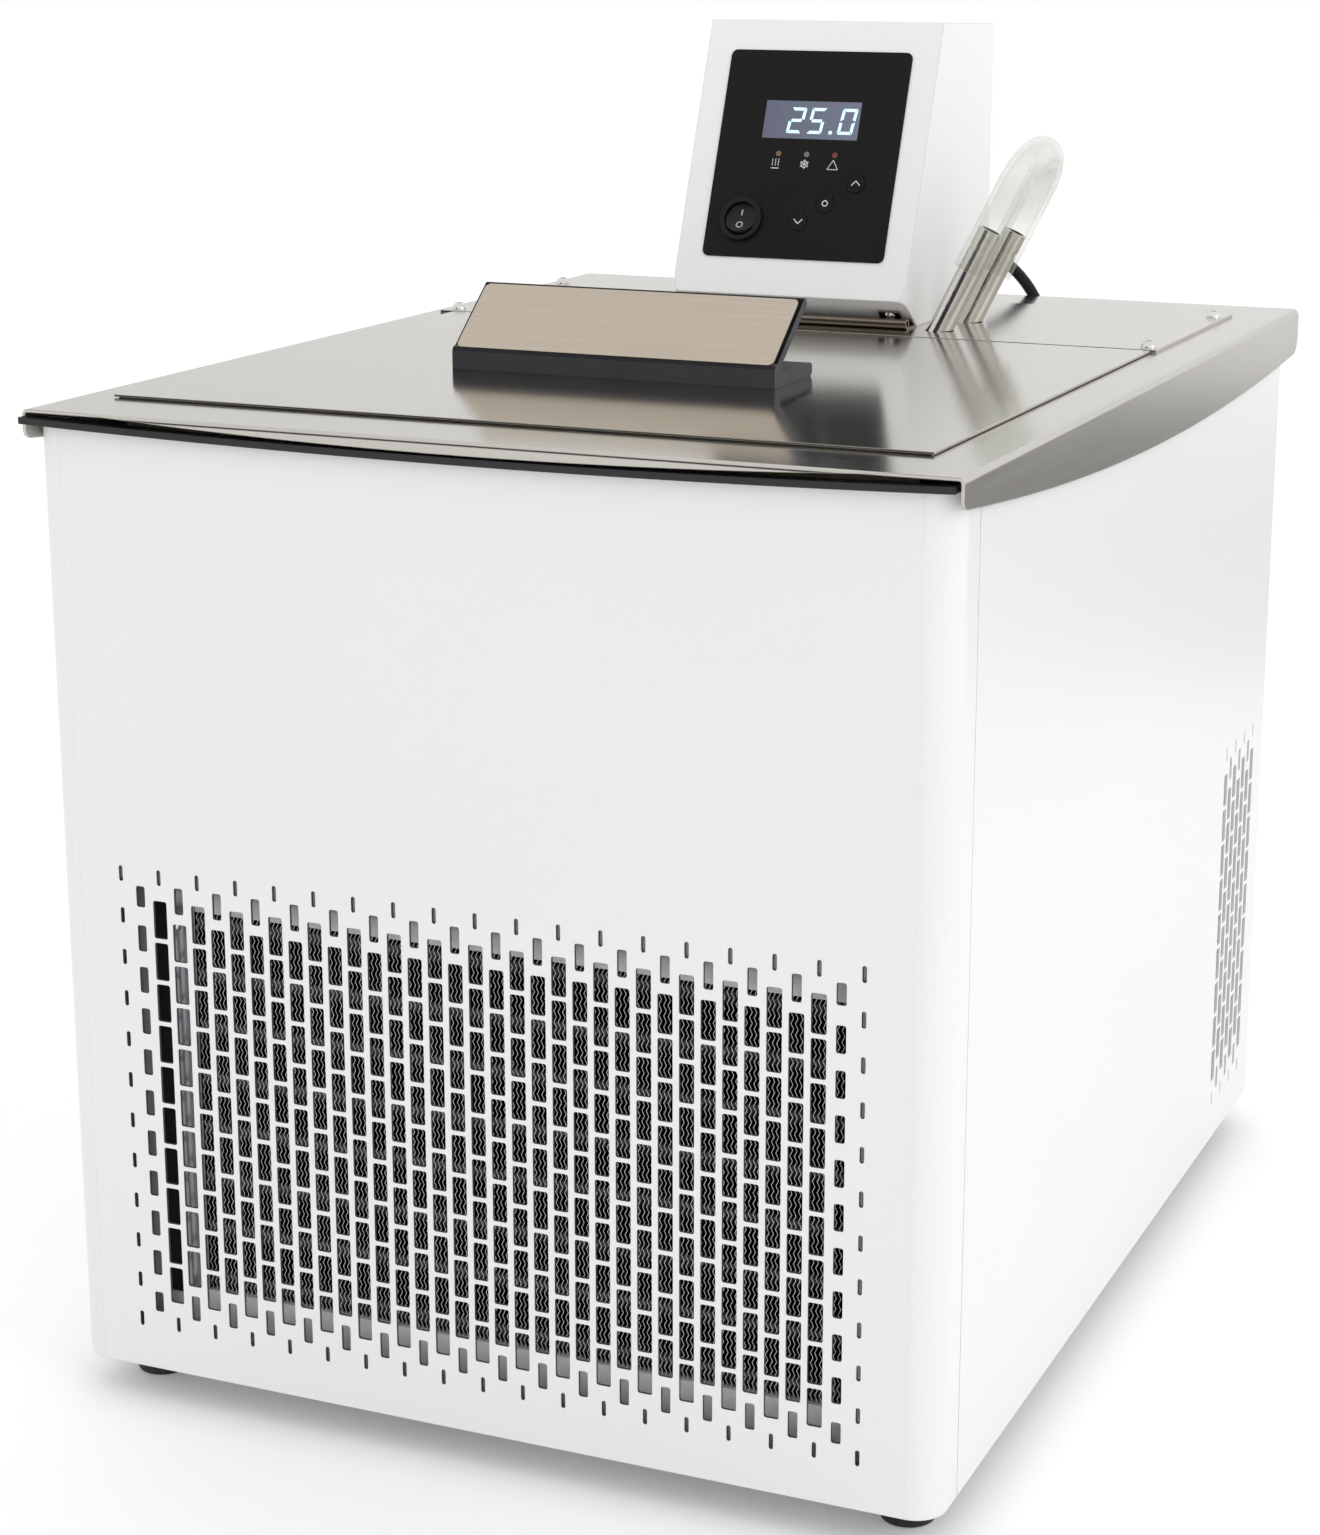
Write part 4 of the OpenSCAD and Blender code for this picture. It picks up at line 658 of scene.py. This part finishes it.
link(wavy_fins("fins_front", FRONT_FINS_Y, pitch=2.1, period=5.0, amp=0.62, thick=0.34, cut=3.2),
     "cabinet", fins, ["condenser_fins"], fin_edge)
link(wavy_fins("fins_rear", REAR_FINS_Y, pitch=4.0, period=31.6, amp=0.3, thick=0.42, cut=0.0),
     "cabinet", fins, ["condenser_fins"])
link(fin_header(), "cabinet", LOOK["condenser_frame"])

# ---------------------------------------------------------------- steel plate on the grip
grip = (Matrix.Translation(Vector((GRIP_X, GRIP_Y + FRONT_Y, DECK_Z + GRIP_UP)) * MM)
        @ Matrix.Rotation(GRIP_TILT, 4, "X") @ Matrix.Translation((0, 0, PLATE_T / 2 * MM)))
face = rounded(0, (PLATE_LOW + PLATE_HIGH) / 2, PLATE_W, PLATE_HIGH - PLATE_LOW, PLATE_R, 8)
link(plate("grip_plate", face, [], PLATE_T, grip), "lid", plate_steel, ["handle_plate"])


# ---------------------------------------------------------------- clear hose over both nozzles
def hose():
    """A tube with a bore: two straight ends and a half turn, in the frame of the nozzles."""
    mid = (HOSE_LOW + HOSE_UP) / 2
    path = [(0.0, HOSE_LOW, 0.0), (0.0, mid, 0.0)]
    for i in range(33):
        a = math.pi * i / 32
        path.append((BEND - BEND * math.cos(a), HOSE_UP + BEND * math.sin(a), a))
    path += [(2 * BEND, mid, math.pi), (2 * BEND, HOSE_LOW, math.pi)]
    n = 56
    verts, faces = [], []
    for y, z, a in path:
        for r in (HOSE_R, HOSE_BORE):
            for k in range(n):
                t = 2 * math.pi * k / n
                side, out = r * math.cos(t), r * math.sin(t)
                verts.append(Vector((side, y + out * math.cos(a), z - out * math.sin(a))) * MM)
    for i in range(len(path) - 1):
        a, b = 2 * n * i, 2 * n * (i + 1)
        for k in range(n):
            j = (k + 1) % n
            faces.append((a + k, a + j, b + j, b + k))
            faces.append((a + n + j, a + n + k, b + n + k, b + n + j))
    for base, flip in ((0, True), (2 * n * (len(path) - 1), False)):
        for k in range(n):
            j = (k + 1) % n
            f = (base + k, base + n + k, base + n + j, base + j)
            faces.append(f if flip else f[::-1])
    obj = mesh_object("hose_skin", verts, faces)
    outward(obj.data)
    # all but the two flat ends, which come last
    for poly in obj.data.polygons:
        poly.use_smooth = len(obj.data.polygons) - poly.index > 2 * n
    obj.data.transform(Matrix.Translation(Vector((NOZZLE_X, NOZZLE_Y + FRONT_Y, DECK_Z)) * MM)
                       @ Matrix.Rotation(NOZZLE_LEAN, 4, "Y") @ Matrix.Rotation(NOZZLE_BACK, 4, "X")
                       @ Matrix.Rotation(NOZZLE_TURN, 4, "Z"))
    return obj


link(hose(), "cabinet", clear_hose, ["bypass_hose"])


# ---------------------------------------------------------------- print and digits on the head's face
def on_face(u, v, w, tilt=0.0):
    """The frame of a point on the sloping face: u to the right, v up the face, w out of it."""
    s, c = math.sin(LEAN), math.cos(LEAN)
    origin = Vector((HEAD_X, HEAD_Y + FRONT_Y, HEAD_Z))
    ax_v, ax_w = Vector((0, s, c)), Vector((0, -c, s))
    pos = (origin + Vector((1, 0, 0)) * u + ax_v * v + ax_w * w) * MM
    m = Matrix(((1, ax_v[0], ax_w[0], 0), (0, ax_v[1], ax_w[1], 0),
                (0, ax_v[2], ax_w[2], 0), (0, 0, 0, 1)))
    return Matrix.Translation(pos) @ m @ Matrix.Rotation(tilt, 4, "X")


def print_piece(name, shapes, place, body, material, thick):
    """Small flat marks: each shape is a convex outline in mm."""
    verts, faces = [], []
    for shape in shapes:
        n, b = len(shape), len(verts)
        for z in (0.0, thick):
            verts += [place @ Vector((x * MM, y * MM, z * MM)) for x, y in shape]
        faces.append(tuple(range(b + n, b + 2 * n)))
        faces.append(tuple(range(b + n - 1, b - 1, -1)))
        for i in range(n):
            j = (i + 1) % n
            faces.append((b + i, b + j, b + n + j, b + n + i))
    link(mesh_object(name, verts, faces), body, material)


def stroke(a, b, w):
    dx, dy = b[0] - a[0], b[1] - a[1]
    k = w / 2 / math.hypot(dx, dy)
    nx, ny = -dy * k, dx * k
    return [(a[0] + nx, a[1] + ny), (a[0] - nx, a[1] - ny),
            (b[0] - nx, b[1] - ny), (b[0] + nx, b[1] + ny)]


def path_strokes(points, w):
    return [stroke(p, q, w) for p, q in zip(points, points[1:])]


def ring_strokes(cx, cy, r, w, n=20):
    turns = [2 * math.pi * i / n for i in range(n + 1)]
    return path_strokes([(cx + r * math.cos(a), cy + r * math.sin(a)) for a in turns], w)


SEGMENTS = {"2": "abged", "5": "afgcd", "0": "abcdef"}
DIGIT_LOW, DIGIT_W, DIGIT_H, DIGIT_T, DIGIT_SLANT, DIGIT_GAP = 88.7, 8.6, 14.2, 1.65, 0.14, 0.35


def digit(ch, x):
    """A slanted digit of seven segments."""
    w, h, t, g = DIGIT_W, DIGIT_H, DIGIT_T, DIGIT_GAP
    half = h / 2
    lay = {
        "a": [(g, h), (w - g, h), (w - t, h - t), (t, h - t)],
        "d": [(t, t), (w - t, t), (w - g, 0), (g, 0)],
        "g": [(g + t / 2, half), (t, half + t / 2), (w - t, half + t / 2), (w - g - t / 2, half),
              (w - t, half - t / 2), (t, half - t / 2)],
        "f": [(0, h - g), (t, h - t - g), (t, half + t / 2 + g / 2), (0, half + g)],
        "e": [(0, half - g), (t, half - t / 2 - g / 2), (t, t + g), (0, g)],
        "b": [(w, h - g), (w, half + g), (w - t, half + t / 2 + g / 2), (w - t, h - t - g)],
        "c": [(w, half - g), (w, g), (w - t, t + g), (w - t, half - t / 2 - g / 2)],
    }
    shapes = []
    for s in SEGMENTS[ch]:
        pts = lay[s]
        area = sum(p[0] * q[1] - q[0] * p[1] for p, q in zip(pts, pts[1:] + pts[:1]))
        shapes.append([(x + px + DIGIT_SLANT * py, DIGIT_LOW + py)
                       for px, py in (pts if area > 0 else pts[::-1])])
    return shapes


def wave_sign(cx, low):
    """Three waves that rise from a bar."""
    marks = [stroke((cx - 2.2, low), (cx + 2.2, low), 0.45)]
    for i in (-1, 0, 1):
        marks += path_strokes([(cx + i * 1.7 + 0.28 * math.sin(k * 1.45), low + 1.3 + k * 0.4)
                               for k in range(11)], 0.28)
    return marks


def frost_sign(cx, cy):
    """Six arms, each with two short twigs."""
    marks = []
    for k in range(6):
        a = math.pi / 3 * k + math.pi / 6
        ca, sa = math.cos(a), math.sin(a)
        marks.append(stroke((cx + 0.15 * ca, cy + 0.15 * sa), (cx + 2.6 * ca, cy + 2.6 * sa), 0.38))
        tx, ty = cx + 1.3 * ca, cy + 1.3 * sa
        for turn in (-0.9, 0.9):
            marks.append(stroke((tx, ty), (tx + math.cos(a + turn), ty + math.sin(a + turn)), 0.4))
    return marks


shapes = [s for ch, x in (("2", -13.9), ("5", -2.3), ("0", 15.1)) for s in digit(ch, x)]
shapes.append([(10.4, DIGIT_LOW), (12.3, DIGIT_LOW), (12.5, DIGIT_LOW + 1.8), (10.6, DIGIT_LOW + 1.8)])
print_piece("display_digits", shapes, on_face(0, 0, FOIL_T), "cabinet", digit_material(), 0.04)

marks = wave_sign(-17.1, 69.3) + frost_sign(-0.6, 71.9)
marks += path_strokes([(12.6, 69.5), (18.6, 69.5), (15.6, 74.6), (12.6, 69.5)], 0.36)
print_piece("panel_marks", marks, on_face(0, 0, FOIL_T), "cabinet", print_white, 0.03)

# an arrow up, a ring and an arrow down
for body, (u, v), way in (("up_key", (30.1, 62.4), 1), ("select_key", (14.4, 50.9), 0),
                          ("down_key", (0.6, 40.6), -1)):
    if way:
        marks = path_strokes([(-2.4, -1.2 * way), (0, 1.3 * way), (2.4, -1.2 * way)], 0.5)
    else:
        marks = ring_strokes(0, 0, 1.45, 0.55)
    print_piece(body + "_mark", marks, on_face(u, v, KEY_FACE), body, print_white, 0.03)


def on_rocker(name, shapes):
    """Marks wrapped onto the rocker's hollow face, a cylinder across its tilt axis."""
    place = on_face(ROCKER_X, ROCKER_UP, 0.0, ROCKER_TILT)
    verts, faces = [], []
    for shape in shapes:
        b, n = len(verts), len(shape)
        for r in (ROCKER_R, ROCKER_R - 0.05):
            for x, y in shape:
                z = ROCKER_AXIS - math.sqrt(r * r - y * y)
                verts.append(place @ Vector((x * MM, y * MM, z * MM)))
        faces.append(tuple(range(b + n, b + 2 * n)))
        for i in range(n):
            j = (i + 1) % n
            faces.append((b + i, b + j, b + n + j, b + n + i))
    link(mesh_object(name, verts, faces), "rocker", rocker_print)


on_rocker("rocker_marks", [stroke((0, 1.7), (0, 4.9), 0.85)] + ring_strokes(0, -4.0, 1.7, 0.7, 24))


# ---------------------------------------------------------------- floor, cards, light, world (metres)
def seen_ray(nt):
    """1 for camera, glossy and transmission rays, which all see the plain background."""
    path = node(nt, "ShaderNodeLightPath")
    seen = calc(nt, "MAXIMUM", path.outputs["Is Camera Ray"], path.outputs["Is Glossy Ray"])
    return calc(nt, "MAXIMUM", seen, path.outputs["Is Transmission Ray"])


def floor_material():
    m, nt, p = new_mat("studio_floor")
    fine = noise(nt, coords(nt), 3, 2)
    nt.links.new(mix(nt, ranged(nt, fine, 0, 1), (0.94, 0.94, 0.94), (0.96, 0.96, 0.96)),
                 p.inputs["Base Color"])
    nt.links.new(ranged(nt, fine, 0.75, 0.9), p.inputs["Roughness"])
    p.inputs["Specular IOR Level"].default_value = 0.2
    p.inputs["Emission Color"].default_value = (1, 1, 1, 1)
    nt.links.new(calc(nt, "MULTIPLY", seen_ray(nt), 0.16), p.inputs["Emission Strength"])
    return m


def dark_card_material():
    m, nt, p = new_mat("dark_card")
    base = (0.05, 0.047, 0.04)
    nt.links.new(mix(nt, noise(nt, coords(nt), 2, 2), base, shade(base, 1.15)),
                 p.inputs["Base Color"])
    p.inputs["Roughness"].default_value = 0.9
    return m


def back_card_material():
    """A little greyer at the card's left."""
    m, nt, p = new_mat("back_card")
    nt.links.new(mix(nt, ranged(nt, place_along(nt, 0), 0, 1, -2.3, -0.1), (0.88, 0.88, 0.86),
                     (0.97, 0.97, 0.97)), p.inputs["Base Color"])
    p.inputs["Roughness"].default_value = 0.9
    return m


def quad(name, corners, material):
    o = mesh_object(name, corners, [(0, 1, 2, 3)])
    bpy.context.scene.collection.objects.link(o)
    o.data.materials.append(material)
    return o


def upright(x0, x1, y, z0, z1):
    return [(x0, y, z0), (x1, y, z0), (x1, y, z1), (x0, y, z1)]


def level(x0, x1, y0, y1, z):
    return [(x0, y0, z), (x1, y0, z), (x1, y1, z), (x0, y1, z)]


quad("floor", level(-6, 6, -6, 6, 0), floor_material())
dark_card = dark_card_material()
# the cards show in reflections only, so the floor stays evenly pale
for card in (quad("card_floor", level(0.4, 2.0, 1.25, 2.9, 0.02), dark_card),
             quad("card_back", upright(-4.2, 0.0, 2.6, 0.66, 3.2), back_card_material()),
             quad("card_front", upright(-2.6, -0.2, -3.0, 0.2, 2.6), dark_card)):
    card.visible_camera = False
    card.visible_diffuse = False
    card.visible_shadow = False

LAMP_PLACE, LAMP_TARGET = Vector((3.2, -0.6, 1.9)), Vector((0, 0, 0.3))
lamp_data = bpy.data.lights.new("right", "AREA")
lamp_data.shape = "RECTANGLE"
lamp_data.size = lamp_data.size_y = 2.4
lamp_data.energy = 13
lamp = bpy.data.objects.new("right", lamp_data)
lamp.location = LAMP_PLACE
lamp.rotation_euler = (LAMP_TARGET - LAMP_PLACE).to_track_quat("-Z", "Y").to_euler()
bpy.context.scene.collection.objects.link(lamp)

world = bpy.data.worlds.new("studio")
bpy.context.scene.world = world
world.use_nodes = True
wt = world.node_tree
sky = node(wt, "ShaderNodeTexCoord")
split = node(wt, "ShaderNodeSeparateXYZ")
wt.links.new(sky.outputs["Generated"], split.inputs[0])
# a little more light from the right; the background itself is plain white
strength = blend(wt, seen_ray(wt), ranged(wt, split.outputs[0], 0.86, 1.02, -1.0, 1.0), 1.0)
wt.links.new(strength, wt.nodes["Background"].inputs["Strength"])
wt.nodes["Background"].inputs["Color"].default_value = (1, 1, 1, 1)
bpy.context.scene.view_settings.view_transform = "Standard"
